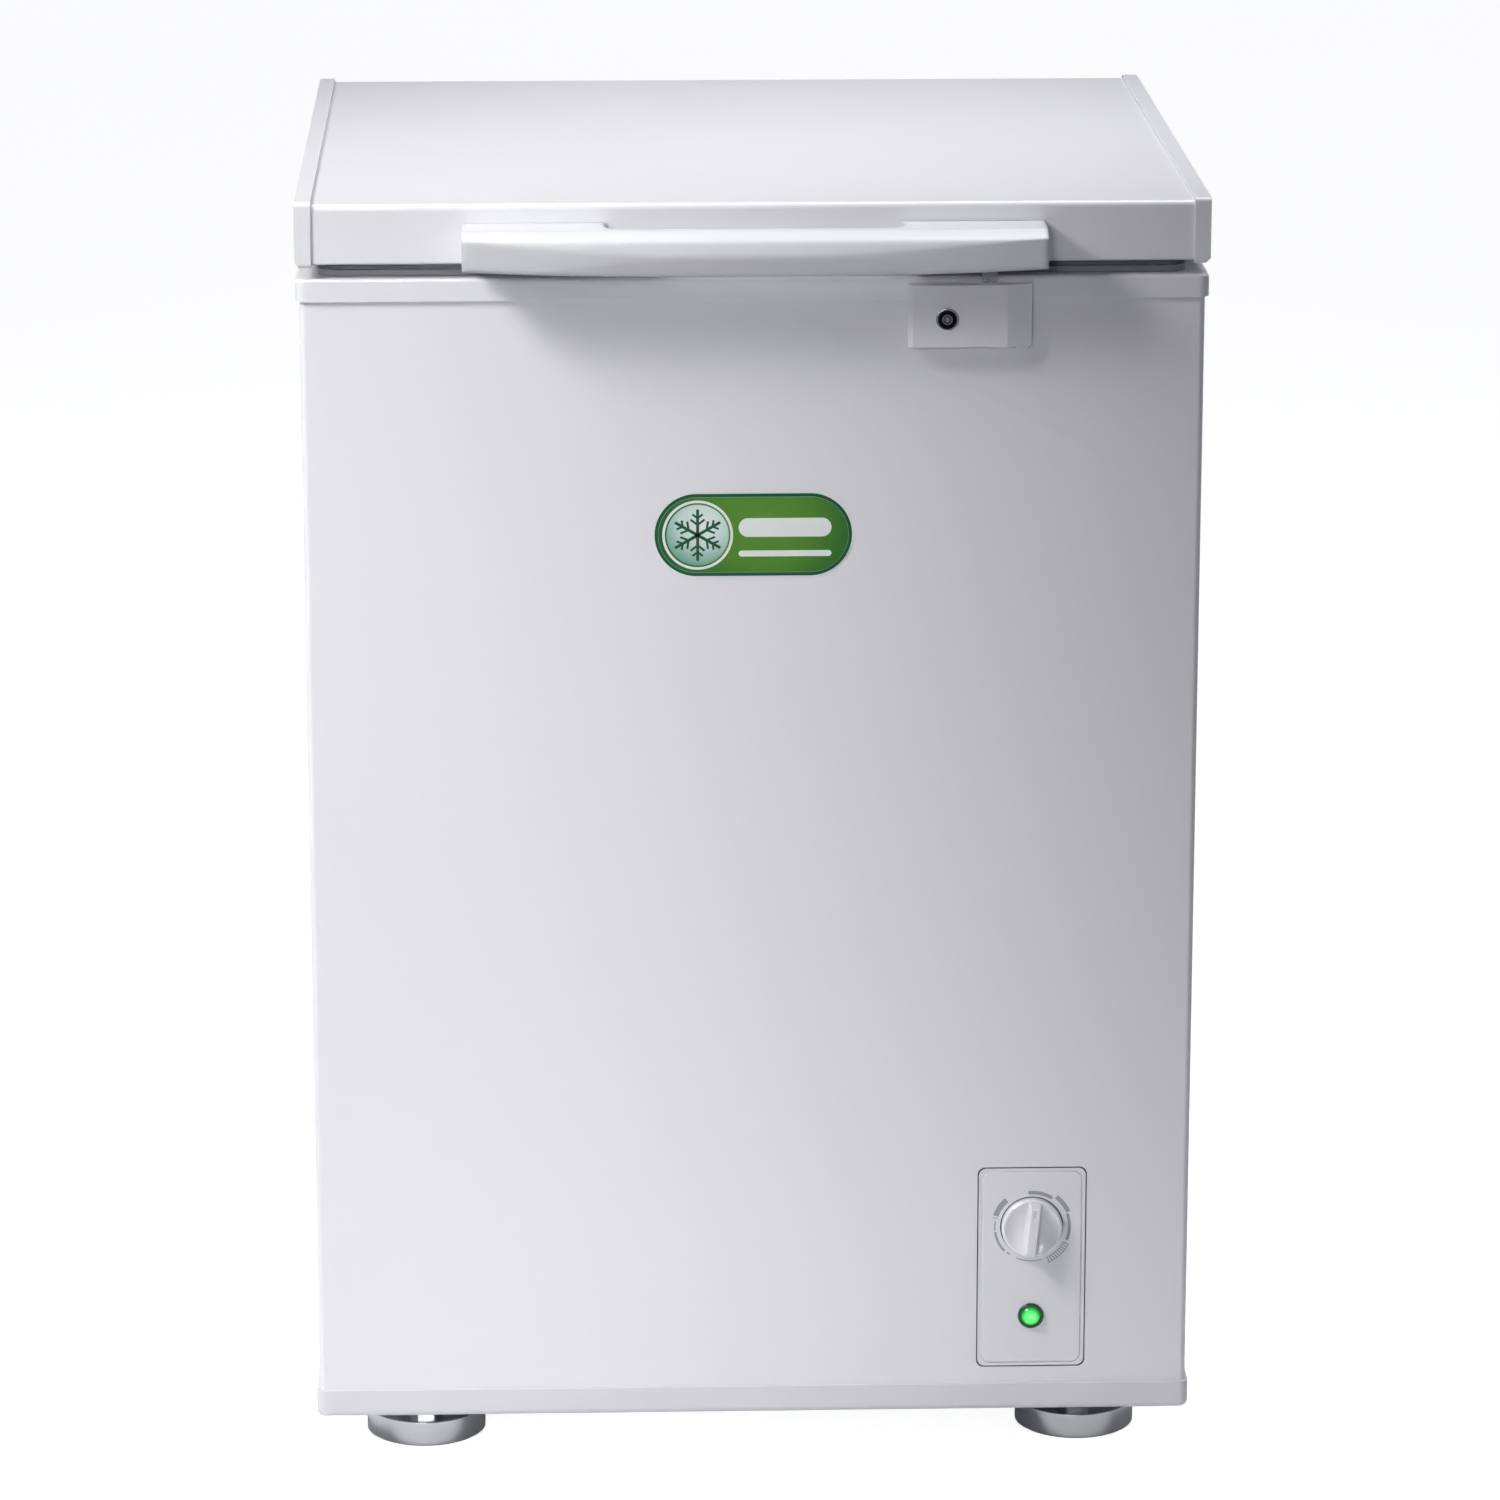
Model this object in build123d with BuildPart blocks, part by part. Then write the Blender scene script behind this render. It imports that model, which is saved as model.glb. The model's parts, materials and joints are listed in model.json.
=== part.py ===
"""Small top-opening chest freezer, built as separate pieces.

Frame: +Z up, the front faces -Y, +X is the user's right. The origin lies on the floor under the middle of
the overall box. All sizes are in millimetres.
"""

import os

from build123d import *

os.makedirs("parts", exist_ok=True)

# ---------------------------------------------------------------- driving dimensions

# Overall
overall_height = 850.0
lid_width = 585.0  # over the two end caps
lid_depth = 520.0  # over the end caps, front to back
handle_reach = 46.0  # how far the grip stands in front of the lid, at its middle
foot_height = 28.0  # floor to the underside of the base trim

# Lid
cap_height = 42.5  # height of the end caps
cap_width = 10.5
cap_end_wall = 2.5
cap_top_step = 2.0  # how far the caps stand above the lid panel
cap_front_step = 1.5  # how far they stand in front of it, and behind it
cap_bottom_step = 3.0  # how far they reach below it
cap_chamfer = 3.5  # along the outer bottom edge
lid_gap = 7.5  # from the rim to the end caps
lid_sheet = 0.8
lid_liner_sheet = 1.5
lid_pan_depth = 12.0  # how far the inner panel's pan stands below its flange
lid_pan_radius = 4.0
lid_flange_return = 8.0

# Gasket
gasket_inset = 14.0  # from the lid's edge to the gasket's outer side
gasket_width = 20.0
gasket_seat_gap = 0.3

# Cabinet
lid_overhang = 4.5  # lid front to cabinet front
sheet = 0.8  # steel of the wrapper and the back panel
corner_radius = 4.0  # front corners of the wrapper
wall = 58.0  # outer face to the inside of the tub
floor_wall = 60.0  # base plate's top to the tub's floor
base_sheet = 2.0
base_trim_height = 19.0
base_trim_wall = 2.0
base_trim_lip = 12.0

# Rim
rim_lip_height = 14.5
rim_wall = 2.5
rim_top_wall = 3.0
rim_ledge_drop = 8.0
rim_ledge_width = 18.0
rim_skirt_depth = 14.0
rim_skirt_wall = 2.0
rim_skirt_gap = 0.5

# Tub
liner_sheet = 1.0
tub_corner = 20.0
tub_floor_radius = 8.0
hump_width = 175.0  # the step over the compressor bay, inside the tub
hump_wall = 48.0  # foam between the compressor bay and the tub

# Compressor bay
bay_height = 200.0  # above the base plate
bay_panel_sheet = 1.2

# Handle
handle_length = 371.0
handle_bow = 6.0  # how much further forward the middle stands than the ends
handle_drop = 14.0  # lid cap top to the handle's top
handle_height = 24.0
handle_belly = 4.0  # how much lower the grip hangs at its middle
grip_opening_length = 190.0
grip_opening_reach = 23.0
handle_wall = 3.0

# Lock
lock_right_inset = 114.5  # lid side to the housing's right end
lock_width = 79.5
lock_height = 40.0
lock_drop = 4.0  # rim top to the housing's top
lock_depth = 14.0
lock_wall = 2.5
lock_slope_width = 16.0
lock_cylinder_inset = 25.0  # from the housing's left end
lock_cylinder_radius = 6.0
lock_bezel_wall = 1.5
cam_length = 17.0
cam_width = 7.0
catch_thickness = 2.0
catch_inset = 47.5  # from the housing's left end
catch_width = 10.0
catch_foot = 10.0

# Control panel
panel_centre_inset = 106.9  # lid side to the panel's centre line
panel_centre_z = 128.5
panel_width = 66.2
panel_height = 134.0
panel_corner = 6.0
panel_plate = 3.0
panel_gap = 0.5
panel_proud = 0.3
panel_box_depth = 42.0
panel_box_wall = 2.0
knob_centre_z = 157.0
knob_radius = 20.3
knob_well_gap = 0.9
knob_well_depth = 1.2
knob_skirt = 6.0
knob_blade_height = 9.0
knob_blade_width = 9.5
knob_rest_turn = 6.0  # degrees clockwise of straight up
lamp_centre_z = 94.4
lamp_radius = 6.7
lamp_bezel_wall = 2.0
shaft_radius = 3.0
thermostat_width = 40.0
thermostat_height = 36.0
thermostat_depth = 26.0

# Label on the front
label_width = 129.0
label_height = 55.8
label_drop = 169.0  # rim top to the label's centre
label_thickness = 0.3

# Hinges
hinge_inset = 102.5  # lid side to the hinge's middle
hinge_width = 60.0
hinge_end_knuckle = 15.5
hinge_knuckle_gap = 0.5
knuckle_radius = 5.5
pin_radius = 3.0
lid_leaf_sheet = 3.0
cabinet_leaf_sheet = 2.0
cabinet_leaf_height = 68.0
lid_leaf_height = 32.0
knuckle_clearance = 1.0
hinge_axis_above_rim = 3.0

# Feet
foot_radius = 40.0
foot_inset_x = 72.5  # lid side to the foot's axis
foot_inset_y = 55.0  # cabinet front or back to the foot's axis
foot_cup_low = 1.0
foot_cup_wall = 1.6
foot_cup_top = 17.5
foot_web_low = 8.0
foot_web = 2.0
foot_stop_gap = 0.1
stud_radius = 4.0
nut_height = 8.0
nut_across = 15.0
collar_across = 19.0
foot_travel = 10.0  # how far a front foot can be screwed out
stud_rise = nut_height + foot_travel  # above the base plate

# Basket
basket_width = 200.0
basket_depth_below_rim = 200.0
basket_wire = 2.5
basket_side_gap = 5.0
basket_rest_gap = 7.5
grid_upright = 1.4
grid_rail = 1.6
grid_pitch = 24.0

# Tubes
condenser_radius = 2.4
evaporator_radius = 4.0
coil_gap = 0.3
coil_bend = 24.0
condenser_runs = 6
evaporator_pitch = 105.0

# Drain
drain_inset_x = 62.0  # tub side to the drain
drain_inset_y = 60.0  # tub front to the drain
drain_outlet_drop = 30.0  # tub floor to the outlet's centre line
drain_radius = 8.0
drain_bore = 6.5
drain_plug_gap = 0.2

# Fasteners
screw_radius = 2.4
screw_head_radius = 4.5
screw_head = 2.5
screw_clearance = 0.1
running_clearance = 0.05

# ---------------------------------------------------------------- derived levels and planes

base_bottom = foot_height
base_plate_bottom = base_bottom + base_trim_wall
base_plate_top = base_plate_bottom + base_sheet
lid_top = overall_height
cap_bottom = lid_top - cap_height
rim_top = cap_bottom - lid_gap
rim_lip_bottom = rim_top - rim_lip_height
foam_top = rim_top - rim_top_wall
panel_top = lid_top - cap_top_step
panel_bottom = cap_bottom + cap_bottom_step
lid_liner_bottom = panel_bottom - lid_liner_sheet
ledge_top = rim_top - rim_ledge_drop
ledge_bottom = ledge_top - rim_top_wall
tub_floor = base_plate_top + floor_wall
bay_top = base_plate_top + bay_height
hump_top = bay_top + hump_wall

total_depth = handle_reach + lid_depth + 2 * knuckle_radius
cabinet_width = lid_width - 2 * rim_wall
lid_front = handle_reach - total_depth / 2
back = lid_front + lid_depth
cabinet_front = lid_front + lid_overhang
rim_front = cabinet_front - rim_wall
panel_face = lid_front + cap_front_step  # front face of the lid's steel
panel_rear = back - cap_front_step
back_inside = back - sheet
cabinet_half = cabinet_width / 2
lid_half = lid_width / 2
cap_inner_x = lid_half - cap_width
foam_half = cabinet_half - sheet
foam_front = cabinet_front + sheet

tub_half = cabinet_half - wall
tub_front = cabinet_front + wall
tub_back = back - wall
skirt_half = tub_half - rim_skirt_gap
skirt_front = tub_front + rim_skirt_gap
skirt_back = tub_back - rim_skirt_gap
ledge_half = tub_half + rim_ledge_width
ledge_front = tub_front - rim_ledge_width
ledge_back = tub_back + rim_ledge_width
hump_left = tub_half - hump_width
bay_left = hump_left + hump_wall
bay_front = tub_front

hinge_x = lid_half - hinge_inset
hinge_y = back + knuckle_radius
hinge_z = rim_top + hinge_axis_above_rim

foot_x = lid_half - foot_inset_x
foot_front_y = cabinet_front + foot_inset_y
foot_back_y = back - foot_inset_y

handle_end_reach = handle_reach - handle_bow
handle_top = lid_top - handle_drop
handle_bottom = handle_top - handle_height

lock_front = cabinet_front - lock_depth
lock_top = rim_top - lock_drop
lock_bottom = lock_top - lock_height
lock_right = lid_half - lock_right_inset
lock_left = lock_right - lock_width
lock_cylinder_x = lock_left + lock_cylinder_inset
lock_bezel_radius = lock_cylinder_radius + lock_bezel_wall
catch_left = lock_left + catch_inset
lock_cylinder_z = lock_bottom + 0.45 * lock_height
catch_front = panel_face - catch_thickness

panel_centre_x = lid_half - panel_centre_inset
knob_well_radius = knob_radius + knob_well_gap
lamp_bezel_radius = lamp_radius + lamp_bezel_wall
label_centre_z = rim_top - label_drop
plate_front = cabinet_front - panel_proud
plate_back = plate_front + panel_plate

pan_half = skirt_half - rim_skirt_wall - 12.0
pan_front = skirt_front + rim_skirt_wall + 12.0
pan_back = skirt_back - rim_skirt_wall - 12.0


# ---------------------------------------------------------------- helpers


def save(piece, label):
    """Names a finished piece and writes its STEP file."""
    piece.part.label = label
    export_step(piece.part, f"parts/{label}.step")


def block(x0, x1, y0, y1, z0, z1, corner=0.0, mode=Mode.ADD):
    """Adds an upright block between six planes, its four vertical edges rounded."""
    with BuildSketch(Plane.XY.offset(z0)) as outline:
        with Locations(((x0 + x1) / 2, (y0 + y1) / 2)):
            if corner:
                RectangleRounded(x1 - x0, y1 - y0, corner)
            else:
                Rectangle(x1 - x0, y1 - y0)
    extrude(outline.sketch, amount=z1 - z0, mode=mode)


def cabinet_block(half, front, rear, z0, z1, corner, mode=Mode.ADD):
    """Adds a block as wide as twice half, with only its two front vertical edges rounded."""
    with BuildSketch(Plane.XY.offset(z0)) as outline:
        with Locations((0, (front + rear) / 2)):
            Rectangle(2 * half, rear - front)
        fillet(outline.vertices().group_by(Axis.Y)[0], corner)
    extrude(outline.sketch, amount=z1 - z0, mode=mode)


def rod_x(y, z, radius, x0, x1, mode=Mode.ADD):
    """Adds a round bar along X."""
    with BuildSketch(Plane.YZ.offset(x0)) as outline:
        with Locations((y, z)):
            Circle(radius)
    extrude(outline.sketch, amount=x1 - x0, mode=mode)


def rod_y(x, z, radius, y0, y1, mode=Mode.ADD):
    """Adds a round bar along Y."""
    with BuildSketch(Plane.XZ.offset(-y1)) as outline:
        with Locations((x, z)):
            Circle(radius)
    extrude(outline.sketch, amount=y1 - y0, mode=mode)


def rod_z(x, y, radius, z0, z1, mode=Mode.ADD):
    """Adds a round bar along Z."""
    with BuildSketch(Plane.XY.offset(z0)) as outline:
        with Locations((x, y)):
            Circle(radius)
    extrude(outline.sketch, amount=z1 - z0, mode=mode)


def tube(points, bend, radius, mode=Mode.ADD):
    """Adds a round tube along straight runs joined by tangent arcs."""
    with BuildLine() as route:
        if len(points) > 2:
            FilletPolyline(*points, radius=bend)
        else:
            Line(*points)
    line = route.wire()
    with BuildSketch(Plane(origin=line @ 0, z_dir=line % 0)) as section:
        Circle(radius)
    sweep(section.sketch, path=line, mode=mode)


def tub_volume(grow, bottom_radius, mode=Mode.ADD):
    """Adds the space of the tub, grown by that much: a wide part above a narrower one beside the hump."""
    with BuildPart(mode=Mode.PRIVATE) as hollow:
        block(
            -tub_half - grow,
            tub_half + grow,
            tub_front - grow,
            tub_back + grow,
            hump_top - grow,
            foam_top,
            corner=tub_corner + grow,
        )
        fillet(hollow.faces().sort_by(Axis.Z)[0].edges(), bottom_radius)
        with BuildPart(mode=Mode.PRIVATE) as lower:
            block(
                -tub_half - grow,
                hump_left + grow,
                tub_front - grow,
                tub_back + grow,
                tub_floor - grow,
                hump_top + 2 * tub_corner,
                corner=tub_corner + grow,
            )
            fillet(lower.faces().sort_by(Axis.Z)[0].edges(), bottom_radius)
        add(lower.part)
    add(hollow.part, mode=mode)


def spread(first, last, pitch):
    """Lists evenly spaced places from first to last, about pitch apart, both ends included."""
    count = max(2, round(abs(last - first) / pitch) + 1)
    return [first + (last - first) * i / (count - 1) for i in range(count)]


def lid_pan(shrink, mode=Mode.ADD):
    """Adds the lid's shallow inner pan, smaller all round by that much, its lower edges rounded."""
    with BuildPart(mode=Mode.PRIVATE) as pan:
        block(
            -pan_half + shrink,
            pan_half - shrink,
            pan_front + shrink,
            pan_back - shrink,
            panel_bottom - lid_pan_depth - lid_liner_sheet + shrink,
            panel_bottom,
            corner=tub_corner - shrink,
        )
        fillet(pan.faces().sort_by(Axis.Z)[0].edges(), lid_pan_radius - shrink)
    add(pan.part, mode=mode)


# ---------------------------------------------------------------- places that several pieces share

hinge_sides = (("left", -hinge_x), ("right", hinge_x))
cabinet_screw_places = [
    (side_x + dx, hinge_z - knuckle_radius - dz)
    for _, side_x in hinge_sides
    for dx in (-20.0, 20.0)
    for dz in (20.0, 52.0)
]
lid_screw_places = [
    (side_x + dx, hinge_z + knuckle_radius + dz)
    for _, side_x in hinge_sides
    for dx in (-20.0, 20.0)
    for dz in (10.0, 26.0)
]
screw_shank = 12.0
handle_screw_z = handle_top - 12.0
handle_screw_reach = 18.0
handle_screw_places = [(x, handle_screw_z) for x in (-172.0, -115.0, 115.0, 172.0)]
foot_places = [
    (x, y) for y in (foot_front_y, foot_back_y) for x in (-foot_x, foot_x)
]
foot_pocket_radius = 10.0
foot_pocket_top = base_plate_top + stud_rise + 2.0

vent_centre_y = 130.0
vent_centre_z = base_plate_top + 98.0
vent_length = 166.0
vent_height = 126.0
vent_border = 9.0
vent_plate = 2.3

cover_left = bay_left + 5.0
cover_right = foam_half - 4.0
cover_bottom = base_bottom + base_trim_height + 3.0
cover_top = bay_top - 4.0
cover_border = 9.0
cord_inlet_x = cover_left + 26.0
cord_inlet_z = cover_bottom + 24.0
cord_inlet_hole = 7.0
cord_inlet_bore = 4.0

vent_screw_places = [
    (vent_centre_y + dy, vent_centre_z + dz)
    for dy in (-vent_length / 2 + 5, vent_length / 2 - 5)
    for dz in (-vent_height / 2 + 5, vent_height / 2 - 5)
]
cover_screw_places = [
    (x, z)
    for x in (cover_left + 4.5, cover_right - 4.5)
    for z in (cover_bottom + 8, cover_top - 8)
]
small_screw_radius = 1.8
small_screw_head = 3.2
small_screw_thick = 1.6

compressor_x = (bay_left + foam_half) / 2
compressor_y = 150.0
compressor_bottom = base_plate_top + 23.0
compressor_height = 145.0
compressor_rx = 72.0
compressor_ry = 58.0
compressor_stub_y = compressor_y + compressor_ry + 8.0
suction_x = compressor_x - 30.0
discharge_x = compressor_x + 30.0
suction_z = compressor_bottom + 95.0
discharge_z = compressor_bottom + 118.0
suction_radius = 5.0
discharge_radius = 4.0
mount_plate = 3.0
mount_half_x = 80.0
mount_half_y = 55.0
grommet_radius = 10.0
grommet_places = [
    (compressor_x + sx * (mount_half_x - 13), compressor_y + sy * (mount_half_y - 13))
    for sx in (-1, 1)
    for sy in (-1, 1)
]

drain_x = -tub_half + drain_inset_x
drain_y = tub_front + drain_inset_y
drain_z = tub_floor - drain_outlet_drop
drain_route = [
    (drain_x, drain_y, tub_floor),
    (drain_x, drain_y, drain_z),
    (-cabinet_half, drain_y, drain_z),
]
drain_bend = 18.0

# ---------------------------------------------------------------- cabinet shell

with BuildPart() as foam_blank:
    cabinet_block(
        foam_half,
        foam_front,
        back_inside,
        base_plate_top,
        foam_top,
        corner_radius - sheet,
    )

with BuildPart() as outer_wrapper:
    cabinet_block(
        cabinet_half,
        cabinet_front,
        back_inside,
        base_plate_top,
        foam_top,
        corner_radius,
    )
    add(foam_blank.part, mode=Mode.SUBTRACT)
    with BuildSketch(Plane.XZ.offset(-foam_front)) as panel_window:
        with Locations((panel_centre_x, panel_centre_z)):
            RectangleRounded(
                panel_width + 2 * panel_gap,
                panel_height + 2 * panel_gap,
                panel_corner + panel_gap,
            )
    extrude(panel_window.sketch, amount=sheet, mode=Mode.SUBTRACT)
    block(
        foam_half,
        cabinet_half,
        vent_centre_y - vent_length / 2 + vent_border,
        vent_centre_y + vent_length / 2 - vent_border,
        vent_centre_z - vent_height / 2 + vent_border,
        vent_centre_z + vent_height / 2 - vent_border,
        mode=Mode.SUBTRACT,
    )
    for y, z in vent_screw_places:
        rod_x(
            y,
            z,
            small_screw_radius + screw_clearance,
            foam_half,
            cabinet_half,
            mode=Mode.SUBTRACT,
        )
    rod_x(drain_y, drain_z, drain_radius, -cabinet_half, -foam_half, mode=Mode.SUBTRACT)
save(outer_wrapper, "outer_wrapper")

with BuildPart() as back_panel:
    block(-cabinet_half, cabinet_half, back_inside, back, base_plate_top, foam_top)
    block(
        cover_left + cover_border,
        cover_right - cover_border,
        back_inside,
        back,
        cover_bottom + cover_border,
        cover_top - cover_border,
        mode=Mode.SUBTRACT,
    )
    for x, z in cabinet_screw_places:
        rod_y(
            x,
            z,
            screw_radius + screw_clearance,
            back_inside,
            back,
            mode=Mode.SUBTRACT,
        )
    for x, z in cover_screw_places:
        rod_y(
            x,
            z,
            small_screw_radius + screw_clearance,
            back_inside,
            back,
            mode=Mode.SUBTRACT,
        )
save(back_panel, "back_panel")

with BuildPart() as base_plate:
    cabinet_block(
        cabinet_half,
        cabinet_front,
        back,
        base_plate_bottom,
        base_plate_top,
        corner_radius,
    )
    for x, y in foot_places:
        rod_z(
            x,
            y,
            stud_radius + running_clearance,
            base_plate_bottom,
            base_plate_top,
            mode=Mode.SUBTRACT,
        )
save(base_plate, "base_plate")

with BuildPart() as base_trim:
    trim_half = cabinet_half + base_trim_wall
    block(
        -trim_half,
        trim_half,
        cabinet_front - base_trim_wall,
        back + base_trim_wall,
        base_bottom,
        base_bottom + base_trim_height,
        corner=corner_radius + base_trim_wall,
    )
    fillet(base_trim.faces().sort_by(Axis.Z)[0].edges(), 4.5)
    cabinet_block(
        cabinet_half,
        cabinet_front,
        back,
        base_plate_bottom,
        base_bottom + base_trim_height,
        corner_radius,
        mode=Mode.SUBTRACT,
    )
    block(
        -cabinet_half + base_trim_lip,
        cabinet_half - base_trim_lip,
        cabinet_front + base_trim_lip,
        back - base_trim_lip,
        base_bottom,
        base_plate_bottom,
        mode=Mode.SUBTRACT,
    )
save(base_trim, "base_trim")

# ---------------------------------------------------------------- tub, foam and rim

with BuildPart() as inner_liner:
    tub_volume(liner_sheet, tub_floor_radius + liner_sheet)
    tub_volume(0.0, tub_floor_radius, mode=Mode.SUBTRACT)
    block(
        -cabinet_half,
        cabinet_half,
        cabinet_front,
        back,
        ledge_bottom,
        foam_top + 1,
        mode=Mode.SUBTRACT,
    )
    with BuildPart(mode=Mode.PRIVATE) as liner_flange:
        block(
            -ledge_half,
            ledge_half,
            ledge_front,
            ledge_back,
            ledge_bottom - liner_sheet,
            ledge_bottom,
            corner=tub_corner + rim_ledge_width,
        )
        block(
            -tub_half,
            tub_half,
            tub_front,
            tub_back,
            ledge_bottom - liner_sheet,
            ledge_bottom,
            corner=tub_corner,
            mode=Mode.SUBTRACT,
        )
    add(liner_flange.part)
    rod_z(
        drain_x,
        drain_y,
        drain_radius,
        tub_floor - liner_sheet,
        tub_floor,
        mode=Mode.SUBTRACT,
    )
save(inner_liner, "inner_liner")

with BuildPart() as insulation_foam:
    add(foam_blank.part)
    tub_volume(liner_sheet, tub_floor_radius + liner_sheet, mode=Mode.SUBTRACT)
    block(
        -ledge_half,
        ledge_half,
        ledge_front,
        ledge_back,
        ledge_bottom - liner_sheet,
        foam_top,
        corner=tub_corner + rim_ledge_width,
        mode=Mode.SUBTRACT,
    )
    block(
        bay_left,
        foam_half,
        bay_front,
        back_inside,
        base_plate_top,
        bay_top,
        mode=Mode.SUBTRACT,
    )
    block(
        panel_centre_x - panel_width / 2 - 3,
        panel_centre_x + panel_width / 2 + 3,
        foam_front,
        plate_back,
        panel_centre_z - panel_height / 2 - 3,
        panel_centre_z + panel_height / 2 + 3,
        mode=Mode.SUBTRACT,
    )
    block(
        panel_centre_x - panel_width / 2 + 1,
        panel_centre_x + panel_width / 2 - 1,
        foam_front,
        bay_front,
        panel_centre_z - panel_height / 2 + 1,
        panel_centre_z + panel_height / 2 - 1,
        mode=Mode.SUBTRACT,
    )
    for x, y in foot_places:
        rod_z(
            x,
            y,
            foot_pocket_radius,
            base_plate_top,
            foot_pocket_top,
            mode=Mode.SUBTRACT,
        )
    for x, z in cabinet_screw_places:
        rod_y(
            x,
            z,
            screw_radius,
            back + cabinet_leaf_sheet - screw_shank,
            back_inside,
            mode=Mode.SUBTRACT,
        )
    tube(drain_route, drain_bend, drain_radius, mode=Mode.SUBTRACT)
save(insulation_foam, "insulation_foam")

with BuildPart() as rim_frame:
    rim_half = cabinet_half + rim_wall
    cabinet_block(
        rim_half,
        rim_front,
        back,
        rim_lip_bottom,
        rim_top,
        corner_radius + rim_wall,
    )
    fillet(rim_frame.faces().sort_by(Axis.Z)[-1].edges(), 2.0)
    cabinet_block(
        cabinet_half,
        cabinet_front,
        back,
        rim_lip_bottom,
        foam_top,
        corner_radius,
        mode=Mode.SUBTRACT,
    )
    block(
        -ledge_half,
        ledge_half,
        ledge_front,
        ledge_back,
        ledge_bottom,
        rim_top,
        corner=tub_corner + rim_ledge_width,
    )
    block(
        -ledge_half + rim_top_wall,
        ledge_half - rim_top_wall,
        ledge_front + rim_top_wall,
        ledge_back - rim_top_wall,
        ledge_top,
        rim_top,
        corner=tub_corner + rim_ledge_width - rim_top_wall,
        mode=Mode.SUBTRACT,
    )
    block(
        -skirt_half,
        skirt_half,
        skirt_front,
        skirt_back,
        ledge_top - rim_skirt_depth,
        ledge_bottom,
        corner=tub_corner - rim_skirt_gap,
    )
    block(
        -skirt_half + rim_skirt_wall,
        skirt_half - rim_skirt_wall,
        skirt_front + rim_skirt_wall,
        skirt_back - rim_skirt_wall,
        ledge_top - rim_skirt_depth,
        rim_top,
        corner=tub_corner - rim_skirt_gap - rim_skirt_wall,
        mode=Mode.SUBTRACT,
    )
save(rim_frame, "rim_frame")

# ---------------------------------------------------------------- lid

with BuildPart() as lid_core:
    block(
        -lid_half + cap_end_wall,
        lid_half - cap_end_wall,
        panel_face,
        panel_rear,
        panel_bottom,
        panel_top,
    )
    fillet(
        lid_core.edges().filter_by(Axis.X).group_by(Axis.Z)[-1],
        4.0,
    )

with BuildPart() as lid_foam:
    block(
        -lid_half + cap_end_wall,
        lid_half - cap_end_wall,
        panel_face + lid_sheet,
        panel_rear - lid_sheet,
        panel_bottom + lid_sheet,
        panel_top - lid_sheet,
    )
    fillet(
        lid_foam.edges().filter_by(Axis.X).group_by(Axis.Z)[-1],
        4.0 - lid_sheet,
    )
lid_foam_blank = lid_foam.part

with BuildPart() as lid_panel:
    add(lid_core.part)
    add(lid_foam_blank, mode=Mode.SUBTRACT)
    block(
        -lid_half,
        lid_half,
        panel_face + lid_flange_return,
        panel_rear - lid_flange_return,
        panel_bottom,
        panel_bottom + lid_sheet,
        mode=Mode.SUBTRACT,
    )
    for x, z in handle_screw_places:
        rod_y(
            x,
            z,
            small_screw_radius + screw_clearance,
            panel_face,
            panel_face + lid_sheet,
            mode=Mode.SUBTRACT,
        )
    for x, z in lid_screw_places:
        rod_y(
            x,
            z,
            screw_radius + screw_clearance,
            panel_rear - lid_sheet,
            panel_rear,
            mode=Mode.SUBTRACT,
        )
save(lid_panel, "lid_panel")

lid_liner_front = panel_face + lid_flange_return
lid_liner_back = panel_rear - lid_flange_return
lid_liner_half = lid_half - cap_width

with BuildPart() as lid_foam:
    add(lid_foam_blank)
    block(
        -lid_liner_half,
        lid_liner_half,
        lid_liner_front,
        lid_liner_back,
        panel_bottom,
        panel_bottom + lid_sheet,
    )
    lid_pan(lid_liner_sheet)
    for x, z in handle_screw_places:
        rod_y(
            x,
            z,
            small_screw_head + screw_clearance,
            panel_face + lid_sheet,
            panel_face + lid_sheet + small_screw_thick,
            mode=Mode.SUBTRACT,
        )
    for x, z in lid_screw_places:
        rod_y(
            x,
            z,
            screw_radius,
            panel_rear + lid_leaf_sheet - screw_shank,
            panel_rear - lid_sheet,
            mode=Mode.SUBTRACT,
        )
save(lid_foam, "lid_foam")

with BuildPart() as lid_liner:
    block(
        -lid_liner_half,
        lid_liner_half,
        lid_liner_front - 4.0,
        lid_liner_back + 4.0,
        lid_liner_bottom,
        panel_bottom,
    )
    lid_pan(0.0)
    lid_pan(lid_liner_sheet, mode=Mode.SUBTRACT)
save(lid_liner, "lid_liner")

gasket_half = lid_half - gasket_inset
gasket_front = lid_front + gasket_inset
gasket_back = back - gasket_inset
# (inset from the gasket's outer side, width, low z, high z) of its base, bellows and magnet pocket
gasket_layers = (
    (2.0, gasket_width - 4.0, lid_liner_bottom - 2.0, lid_liner_bottom),
    (5.0, gasket_width - 10.0, rim_top + 4.0, lid_liner_bottom - 2.0),
    (0.0, gasket_width, rim_top + gasket_seat_gap, rim_top + 4.0),
)
with BuildPart() as lid_gasket:
    for inset, width, low, high in gasket_layers:
        with BuildPart(mode=Mode.PRIVATE) as layer:
            block(
                -gasket_half + inset,
                gasket_half - inset,
                gasket_front + inset,
                gasket_back - inset,
                low,
                high,
                corner=12.0 - inset,
            )
            block(
                -gasket_half + inset + width,
                gasket_half - inset - width,
                gasket_front + inset + width,
                gasket_back - inset - width,
                low,
                high,
                mode=Mode.SUBTRACT,
            )
        add(layer.part)
save(lid_gasket, "lid_gasket")

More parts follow.
